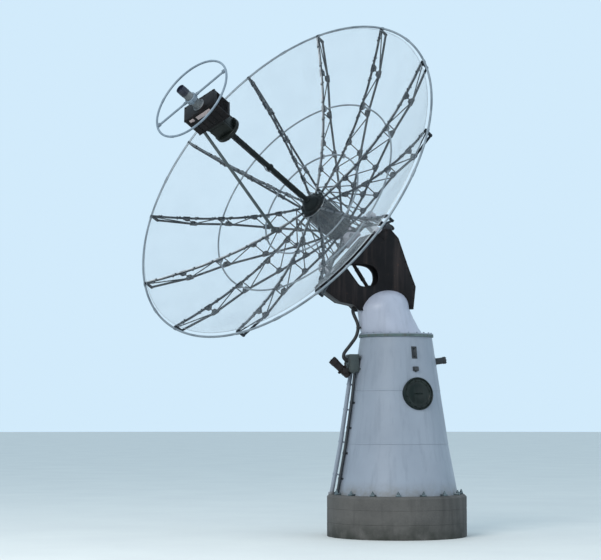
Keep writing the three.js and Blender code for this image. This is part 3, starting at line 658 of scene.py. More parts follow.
# pinkish metal for plates set where highlights fall on the feed box: painted highlights
highlightPlateMetal = zincFinish("pink plate highlight", {
    "color": (168, 152, 150), "second": (184, 170, 168), "dull": (140, 126, 124), "rust": (110, 82, 66),
    "spangle": 60, "cloud": 12, "spots": 40, "rough": (0.35, 0.5), "metal": 0.35,
})
shaftSteel = turnedSteelFinish("shaft steel", {
    "color": (158, 160, 164), "second": (138, 140, 146), "oil": (74, 66, 58), "marks": 130,
    "rough": (0.22, 0.45),
})
plinthConcrete = concreteFinish("plinth concrete", {
    "color": (88, 85, 82), "second": (70, 68, 66), "light": (122, 118, 112), "stain": (48, 46, 44),
    "damp": (42, 44, 38),
})
print("finishes ready")


shell = {
    "stations": [(0.58035, 0.855), (0.655, 0.838), (1.285, 0.722), (2.765, 0.505)],
    "wall": 0.012, "seams": [1.285, 2.02], "bead": 0.004, "anchors": 16,
    "slope": atan((0.722 - 0.505) / (2.765 - 1.285)),
}


def wallPoint(angle, height, distance):
    radius = valueAt(shell["stations"], height) + distance
    return Vector((cos(angle) * radius, sin(angle) * radius, height))


def wallPlace(angle, height, slope=shell["slope"]):
    # z out of the wall, x level round it
    outward = Vector((cos(angle) * cos(slope), sin(angle) * cos(slope), sin(slope)))
    return basis(Vector((-sin(angle), cos(angle), 0)), outward, wallPoint(angle, height, 0))


plinth = {"radius": 0.975, "top": 0.58, "chamfer": 0.03, "joints": (0.195, 0.39), "groove": 0.004}


def makePlinth():
    wide, top, chamfer = plinth["radius"], plinth["top"], plinth["chamfer"]
    grooves = [point for joint in plinth["joints"]
               for point in bandAt(wide, joint, -plinth["groove"], 0.005, 0.002)]
    base = turned([
        (0, 0), (wide, 0), *grooves, (wide, top - chamfer), (wide - chamfer, top), (0, top)
    ], 128)
    soften(base, 0.006, 2, 35)
    dress(base, "concretePlinth", "pedestal", plinthConcrete, ["plinth"])


def makeShell():
    outer = [(radius, height) for height, radius in shell["stations"]]
    for height in shell["seams"]:
        seam = bandAt(valueAt(shell["stations"], height), height, shell["bead"], 0.008, 0.003)
        outer = sorted([p for p in outer if abs(p[1] - height) > 0.001] + seam, key=lambda p: p[1])
    inner = [(radius - shell["wall"], height) for height, radius in reversed(shell["stations"])]
    skin = turned(outer + inner, 160, closed=True)
    dress(smooth(skin, 24), "taperedShell", "pedestal", shadedPalePaint, ["pedestal_body"])

    # clamps that hold the foot to the plinth
    clamp = slab((0.835, -0.035, 0.581), (0.925, 0.035, 0.606), 0.004)
    stud = rod((0.9, 0, 0.6), (0.9, 0, 0.65), 0.0095, 10)
    nut = settle(hexBolt(0.036, 0.024), shift(0.9, 0, 0.606))
    clamps = copiesAt(joined([clamp, stud, nut]), around(shell["anchors"], 0.11))
    dress(clamps, "footClamps", "pedestal", fittingZinc)


neck = {
    "lean": [(2.815, -0.060), (2.9, -0.105), (3.17, -0.190), (3.43, -0.140)],
    "profile": [(0.43, 2.81535), (0.424, 2.845), (0.415, 2.9), (0.4, 2.97), (0.385, 3.04),
                (0.375, 3.11), (0.366, 3.17), (0.353, 3.22), (0.335, 3.262), (0.308, 3.307),
                (0.275, 3.345), (0.237, 3.376), (0.195, 3.4), (0.155, 3.417), (0.11, 3.427)],
    "bore": 0.36, "flange": 0.523, "bolts": 24,
}


def makeNeck():
    profile = [(0, neck["profile"][0][1])] + neck["profile"] + [(0, 3.43)]
    dome = turned(profile)
    openMesh(dome, "VERT", "DESELECT")
    for height in sorted({round(z, 5) for _, z in profile}):
        pickVerts(dome, lambda place: abs(place.z - height) < 0.0001)
        bpy.ops.transform.translate(value=(valueAt(neck["lean"], height), 0, 0))
    closeMesh()
    dress(smooth(dome, 50), "neckDome", "pedestal", skyLitDomePaint)

    bore, rim, top = neck["bore"], neck["flange"], neck["profile"][0][1] - seatGap
    ring = hoop(bore, rim + 0.002, 2.76535, 2.7995, 128)
    dress(soften(ring, 0.004), "bodyFlange", "pedestal", flangePaint)
    ring = soften(hoop(bore, rim, 2.8, top, 128), 0.003)
    bolts = boltRing(0.021, rim - 0.0255, top, neck["bolts"], 0.05, washer=0.016)
    dress([ring, bolts], "neckFlange", "pedestal", shadedPalePaint)


port = {"angle": radians(-78.3), "height": 1.972, "radius": 0.205, "screws": 12}


def makePort():
    place = wallPlace(port["angle"], port["height"])
    radius = port["radius"]
    collar = turned([
        (radius + 0.001, -0.06), (radius + 0.022, -0.06), (radius + 0.022, 0.014),
        (radius + 0.016, 0.021), (radius + 0.007, 0.022), (radius + 0.001, 0.016)
    ], closed=True)
    dress(soften(collar, 0.002), "portCollar", "pedestal", portPaint, place=place)

    cover = turned([
        (0, -0.05), (radius - 0.001, -0.05), (radius - 0.001, 0.008), (radius - 0.006, 0.012),
        (radius - 0.034, 0.012), (radius - 0.04, 0.007), (radius - 0.07, 0.007), (radius - 0.085, 0.013),
        (0.05, 0.017), (0, 0.017)
    ])
    screws = boltRing(0.016, radius - 0.02, 0.012, port["screws"], 0.2, washer=0.011)
    handle = bentTube(rounded([
        (-0.055, 0, 0.012), (-0.055, 0, 0.045), (0.055, 0, 0.045), (0.055, 0, 0.012)
    ], 0.014), 0.006)
    pads = [rod((x, 0, 0.012), (x, 0, 0.02), 0.014) for x in (-0.055, 0.055)]
    dress([smooth(cover), screws, handle] + pads, "portCover", "pedestal", portPaint,
          place=place)


cabinet = {
    "angle": radians(178), "foot": 2.276, "top": 2.53, "half": 0.13, "depth": 0.16,
}


def makeCabinet():
    half, depth = cabinet["half"], cabinet["depth"]
    tall = (cabinet["top"] - cabinet["foot"]) / 2
    case = slab((-half + 0.004, -tall, 0.006), (half - 0.004, tall - 0.004, depth - 0.018), 0.008, 3)
    door = slab((-half + 0.012, -tall + 0.01, depth - 0.018), (half - 0.012, tall - 0.014, depth - 0.004),
                0.005, 3)
    openMesh(door, "FACE", "DESELECT")
    pickFaces(door, lambda centre, normal: normal.z > 0.95 and centre.z > depth - 0.006)
    bpy.ops.mesh.inset(thickness=0.022)
    drawOut((0, 0, -0.004))
    closeMesh()
    outline = [(-half, tall - 0.006), (half, tall - 0.006), (half, tall), (-half, tall)]
    hood = flatPlate(outline, 0, depth + 0.006)
    settle(hood, Matrix.Rotation(pi / 2, 4, "X") @ Matrix.Scale(-1, 4, (0, 1, 0)))
    openMesh(hood)
    sealMesh()
    soften(hood, 0.002)
    x, z = half - 0.01, depth - 0.012
    hinges = [rod((x, y - 0.022, z), (x, y + 0.022, z), 0.008, 14) for y in (-0.075, 0.07)]
    latch = [rod((-half + 0.034, 0.0, depth - 0.006), (-half + 0.034, 0.0, depth + 0.004), 0.015, 20),
             slab((-half + 0.029, -0.03, depth + 0.002), (-half + 0.039, 0.012, depth + 0.01), 0.002)]
    louvre = slab((-0.05, -0.004, depth - 0.008), (0.05, 0.002, depth + 0.002), 0.0015, 1)
    louvres = copiesAt(louvre, [shift(0, -0.07 + 0.018 * i, 0) for i in range(4)])
    straps = [slab((-half - 0.016, y - 0.014, -0.012), (half + 0.016, y + 0.014, 0.008), 0.003)
              for y in (-0.085, 0.08)]
    screws = screwsAt(0.014, grid((-half - 0.004, half + 0.004), (-0.085, 0.08), [0.008]))
    glands = [rod((x, -tall - 0.014, z), (x, -tall + 0.006, z), wide, 6)
              for x, z, wide in ((-0.068, 0.05, 0.031), (0.089, 0.083, 0.04))]
    glands.append(rod((0.022, 0.04, depth - 0.006), (0.022, 0.04, depth + 0.012), 0.034, 6))
    parts = [case, door, hood, louvres, screws] + hinges + latch + straps + glands
    place = wallPlace(cabinet["angle"], (cabinet["top"] + cabinet["foot"]) / 2, 0)
    dress(parts, "junctionBox", "pedestal", cabinetPaint, place=place)


pipes = {
    "conduitAngle": radians(184), "conduit": 0.022, "conduitOut": 0.031,
    "conduitSaddles": (0.8, 1.15, 1.5, 1.85),
    "riserAngle": radians(170), "riser": 0.03, "riserOut": 0.065, "riserSaddles": (0.85, 1.3, 1.75, 2.1),
    "upper": 0.024,
    "route": [(-0.609, 3.172), (-0.637, 3.15), (-0.62, 3.08), (-0.572, 2.99), (-0.549, 2.9),
              (-0.583, 2.77), (-0.69, 2.63), (-0.765, 2.54), (-0.77, 2.475), (-0.735, 2.446),
              (-0.719, 2.443)],
}


def pipeSaddle(radius, out):
    # strap over a pipe that runs up Y, on a stand-off from the wall
    bend = rod((0, -0.014, out), (0, 0.014, out), radius + 0.004, 20)
    post = pad(0.012, 0.012, -0.006, out, 0.002)
    foot = slab((-radius - 0.03, -0.014, -0.006), (radius + 0.03, 0.014, 0.004), 0.001)
    nuts = screwsAt(0.011, [(x, 0, 0.004) for x in (-radius - 0.018, radius + 0.018)])
    return joined([bend, post, foot, nuts])


def makePipes():
    top, foot = cabinet["foot"] - 0.002, plinth["top"] + 0.001
    angle, wide, out = pipes["conduitAngle"], pipes["conduit"], pipes["conduitOut"]
    run = [wallPoint(angle, height, distance) for height, distance in (
        (top, out + 0.011), (2.12, out + 0.007), (1.96, out), (1.285, out), (0.655, out), (foot, out))]
    saddles = [settle(pipeSaddle(wide, out), wallPlace(angle, height))
               for height in pipes["conduitSaddles"]]
    dress([bentTube(rounded(run, 0.06), wide, 16)] + saddles, "downConduit", "pedestal", fittingDark,
          ["conduit"])

    angle, wide, out = pipes["riserAngle"], pipes["riser"], pipes["riserOut"]
    run = [wallPoint(angle, height, out) for height in (top, 1.9, 1.285, 0.655, foot)]
    saddles = [settle(pipeSaddle(wide, out), wallPlace(angle, height)) for height in pipes["riserSaddles"]]
    ferrule = settle(rod((0, 0, 0), (0, 0, 0.03), 0.041, 24), shift(*wallPoint(angle, 0.5805, out)))
    dress([bentTube(rounded(run, 0.05), wide, 20)] + saddles + [ferrule], "cableRiser", "pedestal",
          shadedPalePaint)

    route = [(x, 0, z) for x, z in pipes["route"]]
    parts = [bentTube(rounded(route, 0.05, 3), pipes["upper"], 18)]
    for start, end in ((route[0], route[1]), (route[-1], route[-2])):
        run = (Vector(end) - Vector(start)).normalized()
        parts.append(rod(Vector(start), Vector(start) + run * 0.03, 0.031, 6))
    clip = pad(0.03, 0.034, -0.012, 0.012, 0.004)
    parts.append(settle(clip, shift(-0.545, 0, 2.9)))
    dress(parts, "upperConduit", "pedestal", conduitRubber)


lamp = {"foot": (-0.691, 0, 2.222), "top": (-0.936, 0, 2.449)}


def makeLamp():
    foot, top = Vector(lamp["foot"]), Vector(lamp["top"])
    length = (top - foot).length
    body = turned([
        (0, 0.0), (0.034, 0.0), (0.046, 0.008), (0.0515, 0.022), (0.0515, 0.06), (0.0535, 0.2),
        (0.0555, 0.262), (0.0595, 0.268), (0.0595, length - 0.004), (0.0565, length), (0.0515, length),
        (0.0515, length - 0.03), (0, length - 0.03)
    ], 48)
    fins = [hoop(0.045, 0.0572, z, z + 0.005, 40) for z in (0.07, 0.09, 0.11, 0.13, 0.15)]
    screws = boltRing(0.009, 0.0555, length - 0.001, 6)
    side = pad(0.012, 0.075, 0.12, 0.15, 0.003)
    case = settle(joined([body, screws, side] + fins), placeBetween(foot, top))
    arms = [slab((-0.8, y - 0.004, 2.268), (-0.72, y + 0.004, 2.33), 0.002) for y in (-0.078, 0.078)]
    dress([case] + arms, "workLamp", "pedestal", boxPaint)


smallFittings = {
    "handleAngle": radians(-80), "handleHeight": 2.54, "socketHeight": 2.313,
    "lugAngle": radians(-8), "lugHeight": 2.43,
}


def makeFittings():
    place = wallPlace(smallFittings["lugAngle"], smallFittings["lugHeight"])
    stub = turned([
        (0, -0.03), (0.046, -0.03), (0.046, 0.112), (0.0515, 0.116), (0.0515, 0.128), (0.0495, 0.13),
        (0.0495, 0.133), (0.0515, 0.135), (0.0515, 0.15), (0.048, 0.154), (0, 0.154)
    ], 48)
    flange = soften(turned([
        (0.044, -0.02), (0.068, -0.02), (0.068, 0.006), (0.044, 0.012)
    ], 48, closed=True), 0.002)
    bolts = boltRing(0.011, 0.04, 0.154, 6)
    dress([stub, flange, bolts], "sideLug", "pedestal", fittingDark, place=place)

    place = wallPlace(smallFittings["handleAngle"], smallFittings["handleHeight"])
    plate = pad(0.04, 0.085, -0.012, 0.006, 0.003, 3)
    screws = screwsAt(0.011, grid((-0.03, 0.03), (-0.074, 0.0, 0.074), [0.006]))
    grip = bentTube(rounded([
        (0, -0.056, 0), (0, -0.056, 0.042), (0, 0.056, 0.042), (0, 0.056, 0)
    ], 0.022, 5),
                    0.008, 16)
    collars = [rod((0, y, 0.004), (0, y, 0.012), 0.014, 20) for y in (-0.056, 0.056)]
    dress([plate, screws, grip] + collars, "grabHandle", "pedestal", fittingDark,
          place=place)

    place = wallPlace(smallFittings["handleAngle"], smallFittings["socketHeight"])
    case = pad(0.04, 0.03, -0.012, 0.03, 0.005, 3)
    lid = slab((-0.032, -0.026, 0.03), (0.032, 0.022, 0.04), 0.004, 3)
    pin = rod((-0.026, 0.024, 0.034), (0.026, 0.024, 0.034), 0.0045, 12)
    gland = rod((0, -0.03, 0.012), (0, -0.042, 0.012), 0.011, 6)
    dress([case, lid, pin, gland], "wallSocket", "pedestal", fittingDark, place=place)


makePlinth()
makeShell()
makeNeck()
makePort()
makeCabinet()
makePipes()
makeLamp()
makeFittings()
print("pedestal done")


dish = {
    "radius": 2.5, "depth": 0.75, "vertex": 0.70, "rimHeight": 1.42, "ribs": 12, "panels": 6,
    "chord": 0.016, "web": 0.008, "rimTube": 0.015, "ringTube": 0.012,
    "rings": (("midRing", 1.5), ("innerRing", 0.8)), "hem": 0.0025, "lay": 0.0174, "ribStart": 0.17535,
        "ribEnd": 2.48666,
    "stations": [0.4, 0.6, 0.8, 1.025, 1.25, 1.5, 1.75, 2.0, 2.25],
    "back": [(0.17535, 0.118), (0.3, 0.168), (0.5, 0.26), (1.0, 0.54), (1.5, 0.82), (2.0, 1.032),
             (2.47066, 1.318)],
    "feet": [0.3, 0.6, 1.0, 1.44, 1.56, 2.0], "gussets": [0.6, 1.0, 1.5, 2.0],
    "clips": [0.3, 0.5, 0.9, 1.14, 1.37, 1.63, 1.87, 2.13, 2.37],
    "wire": 0.0005, "pitch": 0.0127, "wireStep": 0.125, "meshStart": 0.21, "meshEnd": 2.466,
}


def frontHeight(radius):
    return dish["vertex"] + dish["depth"] * (radius / dish["radius"]) ** 2


def frontPoint(radius, offset=0.0):
    slope = 2 * dish["depth"] * radius / dish["radius"] ** 2
    length = hypot(1, slope)
    return Vector((radius - offset * slope / length, 0, frontHeight(radius) + offset / length))


def backHeight(radius):
    return valueAt(dish["back"], radius)


def frontRun(radius, reach=0.01):
    return frontPoint(radius + reach) - frontPoint(radius - reach)


def slopeTurn(run):
    return Matrix.Rotation(-atan2(run.z, run.x), 4, "Y")


def onFront(radius, offset=0.0):
    # x up the bowl's slope, z out of it
    return shift(*frontPoint(radius, offset)) @ slopeTurn(frontRun(radius))


def pressedTube(start, end, radius, sides=8, crimp=0.045):
    # a tube with both ends pressed flat in the rib's plane
    start, end = Vector(start), Vector(end)
    run = (end - start).normalized()
    flat = 0.4
    piece = discAt(start, run, radius, sides)
    bpy.ops.transform.resize(value=(1, flat, 1))
    lengths = (crimp, (end - start).length - 2 * crimp, crimp)
    for length, width in zip(lengths, (1 / flat, 1, flat)):
        drawOut(run * length)
        bpy.ops.transform.resize(value=(1, width, 1))
    sealMesh()
    return smooth(piece, 40)


def gusset(centre, along, across):
    # the plates at a joint of the truss, with bolts on both sides
    half = 0.052
    outline = [(-half, -0.019), (half, -0.019), (half, 0.012), (0.022, 0.05 * across),
               (-0.022, 0.05 * across), (-half, 0.012)]
    if across < 0:
        outline = [(x, -z if abs(z) < 0.03 else z) for x, z in outline]
    plate = soften(flatPlate(outline, -0.0195, 0.039), 0.002, 1)
    spots = [shift(x, side * 0.0195, 0) @ sided(facingY, side)
             for side in (-1, 1) for x in (-0.04, 0.04)]
    bolts = copiesAt(hexBolt(0.014), spots)
    return settle(joined([plate, bolts]), shift(*centre) @ slopeTurn(along))


def makeRibs():
    front = [frontPoint(radius) for radius in [dish["ribStart"]] + dish["stations"]]
    front.append(frontPoint(dish["ribEnd"]))
    back = [(radius, 0, height) for radius, height in dish["back"]]
    parts = [bentTube(points, dish["chord"], 12) for points in (front, back)]
    feet = [Vector((radius, 0, backHeight(radius))) for radius in dish["feet"]]
    heads = [Vector((radius, 0, frontHeight(radius))) for radius in dish["feet"]]
    for foot, head in zip(feet, heads):
        parts.append(pressedTube(foot, head, dish["web"]))
    for i in (1, 2, 3, 5):
        parts.append(pressedTube(feet[i], heads[i - 1], dish["web"]))
    parts.append(pressedTube(feet[-1], (2.46, 0, 1.4), dish["web"]))
    for radius in dish["gussets"]:
        parts.append(gusset(frontPoint(radius), frontRun(radius), -1))
        behind = Vector((0.02, 0, backHeight(radius + 0.01) - backHeight(radius - 0.01)))
        parts.append(gusset(Vector((radius, 0, backHeight(radius))), behind, 1))
    end = dish["ribEnd"]
    cap = soften(flatPlate([(end - 0.034, 1.296), (end - 0.001, 1.302), (end - 0.001, 1.432),
                            (end - 0.034, 1.43)], -0.016, 0.032), 0.003)
    root = slab((0.1756, -0.03, 0.102), (0.1836, 0.03, frontHeight(0.18) + 0.012), 0.002, 1)
    spots = [shift(0.1836, y, z) @ facingX for y in (-0.02, 0.02) for z in (0.16, 0.26, 0.4, 0.54, 0.66)]
    bolts = copiesAt(hexBolt(0.013), spots)
    clip = pad(0.011, 0.0185, -0.017, 0.0172, 0.002, 1)
    clips = copiesAt(clip, [onFront(radius) for radius in dish["clips"]])
    rib = joined(parts + [cap, root, bolts, clips])
    for i, turn in enumerate(around(dish["ribs"]), 1):
        twin = copyAt(rib, dishPlace @ turn)
        dress(twin, f"ribTruss{i:02d}", "dish", ribShadedPaint, [f"rib_{i:02d}"])
    bpy.data.objects.remove(rib)


def tubeRing(radius, height, tube, steps, sides=12):
    clearSelection()
    bpy.ops.mesh.primitive_circle_add(vertices=sides, radius=tube, location=(radius, 0, height),
                                      rotation=(pi / 2, 0, 0))
    return spun(applyPlace(bpy.context.object), steps, 60)


def makeRings():
    rim, height = dish["radius"], dish["rimHeight"]
    ring = tubeRing(rim, height, dish["rimTube"], 180)
    sleeves, collars = [
        copiesAt(soften(rod((rim, -half, height), (rim, half, height), wide), 0.002, 1), turns)
        for half, wide, turns in ((0.05, 0.0185, around(6, radians(15))),
                                  (0.024, 0.0195, around(dish["ribs"])))]
    dress([ring, sleeves, collars], "rimRing", "dish", ringZinc, place=dishPlace)
    tube = dish["ringTube"]
    for name, station in dish["rings"]:
        slope = atan(2 * dish["depth"] * station / dish["radius"] ** 2)
        behind = frontPoint(station, -(dish["chord"] + tube * cos(slope) + seatGap))
        ring = tubeRing(behind.x, behind.z, tube, 144)
        strap = pad(0.03, 0.02, -0.0145, 0.0145, 0.002, 1)
        clamp = settle(strap, shift(*behind) @ Matrix.Rotation(-slope, 4, "Y"))
        clamps = copiesAt(clamp, around(dish["ribs"]))
        dress([ring, clamps], name, "dish", ringZinc, place=dishPlace)


def wireLines(low, high, alongX):
    # straight runs of wire over one gore, trimmed to it, still flat and above the bowl
    half = dish["radius"]
    runs = int(2 * half / dish["pitch"])
    steps = int(2 * half / dish["wireStep"])
    clearSelection()
    counts = (runs, steps) if alongX else (steps, runs)
    bpy.ops.mesh.primitive_grid_add(x_subdivisions=counts[0], y_subdivisions=counts[1], size=2 * half)
    lines = bpy.context.object
    openMesh(lines, "EDGE", "DESELECT")
    shape = bmesh.from_edit_mesh(lines.data)
    for edge in shape.edges:
        run = edge.verts[0].co - edge.verts[1].co
        edge.select_set(abs(run.y if alongX else run.x) < 1e-6)
    bmesh.update_edit_mesh(lines.data)
    bpy.ops.mesh.delete(type="EDGE")
    bpy.ops.mesh.select_all(action="SELECT")
    bpy.ops.transform.translate(value=(0, 0, 2.0))
    closeMesh()
    settle(lines, turnAbout((low + high) / 2))
    openMesh(lines)

    def trim(normal, distance):
        bpy.ops.mesh.select_all(action="SELECT")
        bpy.ops.mesh.bisect(plane_co=Vector(normal) * distance, plane_no=normal, clear_outer=True)

    trim((sin(low), -cos(low), 0), -0.004)
    trim((-sin(high), cos(high), 0), -0.004)
    flats = 12
    for i in range(flats):
        angle = low + (high - low) * (i + 0.5) / flats
        trim((cos(angle), sin(angle), 0), dish["meshEnd"] * cos((high - low) / flats / 2))
    pickVerts(lines, lambda place: hypot(place.x, place.y) < dish["meshStart"])
    bpy.ops.mesh.delete(type="VERT")
    closeMesh()
    return lines


def laid(lines, guide, lift):
    # the flat lines drawn down onto the bowl and thickened into wires
    take(lines)
    wrap = lines.modifiers.new("lay", "SHRINKWRAP")
    wrap.wrap_method = "PROJECT"
    wrap.use_project_z = True
    wrap.use_negative_direction = True
    wrap.use_positive_direction = False
    wrap.target = guide
    wrap.offset = lift
    bpy.ops.object.modifier_apply(modifier=wrap.name)
    openMesh(lines, "VERT", "DESELECT")
    pickVerts(lines, lambda place: place.z > 1.6)
    bpy.ops.mesh.delete(type="VERT")
    closeMesh()
    bpy.ops.object.convert(target="CURVE")
    wires = bpy.context.object
    wires.data.dimensions = "3D"
    wires.data.bevel_depth = dish["wire"]
    wires.data.bevel_resolution = 0
    wires.data.use_fill_caps = True
    bpy.ops.object.convert(target="MESH")
    return bpy.context.object


def goreHem(low, high):
    # bars along the four edges of a gore
    lift = dish["lay"] + 0.002
    first, last = dish["meshStart"] + 0.003, dish["meshEnd"] - 0.004
    parts = []
    run = [frontPoint(first + (last - first) * i / 12, lift) for i in range(13)]
    for angle, inward in ((low, 0.007), (high, -0.007)):
        parts.append(settle(bentTube(run, dish["hem"], 6), turnAbout(angle) @ shift(0, inward, 0)))
    for radius in (first, last):
        spare = 0.008 / radius
        sweep = [turnAbout(low + spare + (high - low - 2 * spare) * i / 16) @ frontPoint(radius, lift)
                 for i in range(17)]
        parts.append(bentTube(sweep, dish["hem"], 6))
    return joined(parts)


def makeClips():
    # bolted straps that hold the mesh down on every rib
    clip = pad(0.011, 0.016, 0.0, 0.0035, 0.0012, 1)
    clip = joined([clip, settle(hexBolt(0.009), shift(0, 0, 0.0035))])
    spots = [turn @ onFront(0.34 + 0.25 * i, dish["lay"] + 0.003)
             for turn in around(dish["ribs"]) for i in range(9)]
    dress(copiesAt(clip, spots), "meshClips", "dish", ribShadedPaint, place=dishPlace)


def makeMesh():
    profile = [frontPoint(0.15 + 0.1 * i, dish["lay"]) for i in range(25)]
    guide = turned([(point.x, point.z) for point in profile], 192)
    span = tau / dish["panels"]
    for number in range(dish["panels"]):
        low, high = span * number, span * (number + 1)
        warp = laid(wireLines(low, high, False), guide, 0.0)
        weft = laid(wireLines(low, high, True), guide, 2 * dish["wire"])
        gore = dress([warp, weft, goreHem(low, high)], f"wireGore{number + 1}", "dish", wireZinc,
                     [f"mesh_panel_{number + 1}"], dishPlace)
        print("gore", number + 1, len(gore.data.polygons))
    bpy.data.objects.remove(guide)


makeRibs()
makeRings()
makeMesh()
makeClips()
print("dish done")


mount = {
    "offset": 0.13, "thick": 0.026, "deck": 0.105, "ledge": 0.23, "web": 0.02, "inset": 0.003,
    "north": [(-0.12, 4.29), (0, 4.16), (0.13, 3.79), (0.25, 3.48), (0.215, 3.16)],
    "south": [(-0.575, 3.13), (-0.66, 3.21), (-0.86, 3.25)],
    "window": [(-0.795, 3.768), (-0.57, 3.468), (-0.44, 3.462), (-0.345, 3.476), (-0.292, 3.56),
               (-0.3, 3.68), (-0.37, 3.762), (-0.48, 3.79), (-0.7, 3.79)],
    "pads": [[(0.268, -0.236), (0.385, -0.236), (0.37, -0.36), (0.285, -0.36)],
             [(-0.66, -0.112), (-0.46, -0.112), (-0.49, -0.23), (-0.63, -0.23)]],
}


def axisPoint(along, above):
    # place in the upright plane of the polar axis, as (x, z)
    point = polarPoint + polarAxis * along + meridian * above
    return (point.x, point.z)


def deckLine():
    low = -mount["deck"]
    ledge = -mount["ledge"]
    return [axisPoint(-0.85, low), axisPoint(0.14, low), axisPoint(0.255, -0.18),
            axisPoint(0.262, ledge), axisPoint(0.39, ledge), mount["north"][0]]


def alongEdge(points, spacing, inward, setBack=0.045):
    # even places along an outline, a little inside it
    spots = []
    for start, end in zip(points, points[1:]):
        run = Vector(end) - Vector(start)
        length = run.length - 2 * setBack
        if length > 0:
            count = max(1, round(length / spacing))
            for i in range(count + 1):
                spot = Vector(start) + run.normalized() * (setBack + length * i / count)
                spots.append(spot + Vector((run.y, -run.x)).normalized() * inward)
    return spots


def makePlates():
    outline = deckLine() + mount["north"][1:] + mount["south"]
    opening = mount["window"]
    start = (Vector(opening[0]) + Vector(opening[-1])) / 2
    window = rounded([start, *opening, start], 0.05)[:-1]
    spots = alongEdge(deckLine(), 0.12, 0.013) + alongEdge(mount["north"], 0.13, 0.013)
    spots += alongEdge(mount["south"] + outline[:1], 0.1, 0.013)
    for side, name in ((-1, "framePlateEast"), (1, "framePlateWest")):
        y = side * mount["offset"]
        face = y + side * mount["thick"] / 2
        outward = sided(facingY, side)
        plate = flatPlate(outline, y - mount["thick"] / 2, mount["thick"])
        parts = [soften(drill(plate, flatPlate(window, y - 0.1, 0.2)), 0.003)]
        parts.append(bentTube([(x, face, z) for x, z in window + window[:1]], 0.006, 8))
        parts.append(screwsAt(0.018, [(x, face, z) for x, z in spots], outward))
        for corners in mount["pads"]:
            points = [axisPoint(*corner) for corner in corners]
            y = face - (0.004 if side > 0 else 0.005)
            parts.append(soften(flatPlate(points, y, 0.009), 0.003))
            middle = sum((Vector(point) for point in points), Vector((0, 0))) / 4
            heads = [Vector(point) * 0.72 + middle * 0.28 for point in points]
            parts.append(screwsAt(0.018, [(x, face + side * 0.004, z) for x, z in heads], outward))
        dress(parts, name, "pedestal", mountPaint)


def edgeStrip(points, setBack):
    # outline of a plate that follows an edge just inside it
    path = [Vector(point) for point in points]
    path[0] = path[0] + (path[1] - path[0]).normalized() * setBack
    path[-1] = path[-1] + (path[-2] - path[-1]).normalized() * setBack
    inward = [Vector((b.y - a.y, a.x - b.x)).normalized() for a, b in zip(path, path[1:])]
    outer, inner = [], []
    for i, point in enumerate(path):
        before, after = inward[max(i - 1, 0)], inward[min(i, len(inward) - 1)]
        mitre = (before + after) / (1 + before.dot(after))
        outer.append(point + mitre * mount["inset"])
        inner.append(point + mitre * (mount["inset"] + mount["web"]))
    return outer + inner[::-1]


def makeWebs():
    inside = mount["offset"] - mount["thick"] / 2 - 0.0004
    strips = (("frameDeck", deckLine(), 0.008), ("frameNorthWeb", mount["north"], 0.03),
              ("frameSouthWeb", mount["south"] + [axisPoint(-0.85, -mount["deck"])], 0.03))
    for name, points, setBack in strips:
        parts = [soften(flatPlate(edgeStrip(points, setBack), -inside, 2 * inside), 0.003)]
        if name == "frameDeck":
            rib = pad(inside, 0.006, -0.175, -0.122, 0.002)
            ribs = copiesAt(rib, [shift(0, along, 0) for along in (-0.7, -0.4, -0.15, 0.08)])
            parts.append(settle(ribs, seatPlace))
            seat = screwsAt(0.018, grid((-0.07, 0.07), (-0.78, -0.4, -0.2, 0.0, 0.1),
                                        [-mount["deck"] - mount["inset"]]))
            parts.append(settle(seat, seatPlace))
        if name == "frameSouthWeb":
            parts.append(rod((-0.609, 0, 3.176), (-0.6, 0, 3.196), 0.036, 6))
        dress(parts, name, "pedestal", mountPaint)
    crown = slab((-0.33, -inside, 3.4), (0.02, inside, 3.47), 0.006, 3)
    bolts = screwsAt(0.022, grid((-0.3, -0.01), (-0.08, 0.0, 0.08), [3.47]))
    dress([crown, bolts], "frameCrownWeb", "pedestal", mountPaint)


brace = {"foot": (-0.355, 0, 3.375), "top": (-0.711, 0, 3.925), "radius": 0.025, "pin": 0.01}


def makeBrace():
    # tie bar from the deck to the dome's crown, with a turnbuckle and two forks
    foot, top, wide = brace["foot"], brace["top"], brace["radius"]
    length = (Vector(top) - Vector(foot)).length - 0.012
    half = length / 2
    bar = turned([
        (0, 0.03), (wide, 0.03), *bandAt(wide, half, 0.004, 0.07, 0.066), (wide, length), (0, length)
    ], 32)
    nuts = [rod((0, 0, half + z), (0, 0, half + z + 0.018), 0.034, 6) for z in (-0.09, 0.072)]
    parts = [bar] + nuts
    for z in (0.1, length - 0.03):
        for y in (-0.034, 0.026):
            parts.append(slab((-0.03, y, z - 0.05), (0.03, y + 0.008, z + 0.025), 0.003))
        parts.append(rod((0, -0.04, z), (0, 0.04, z), brace["pin"]))
    dress(parts, "frameBrace", "pedestal", mountPaint, place=placeBetween(foot, top))


bearing = {"half": 0.143, "radius": 0.085, "foot": 0.028, "length": 0.08, "bore": 0.0459}


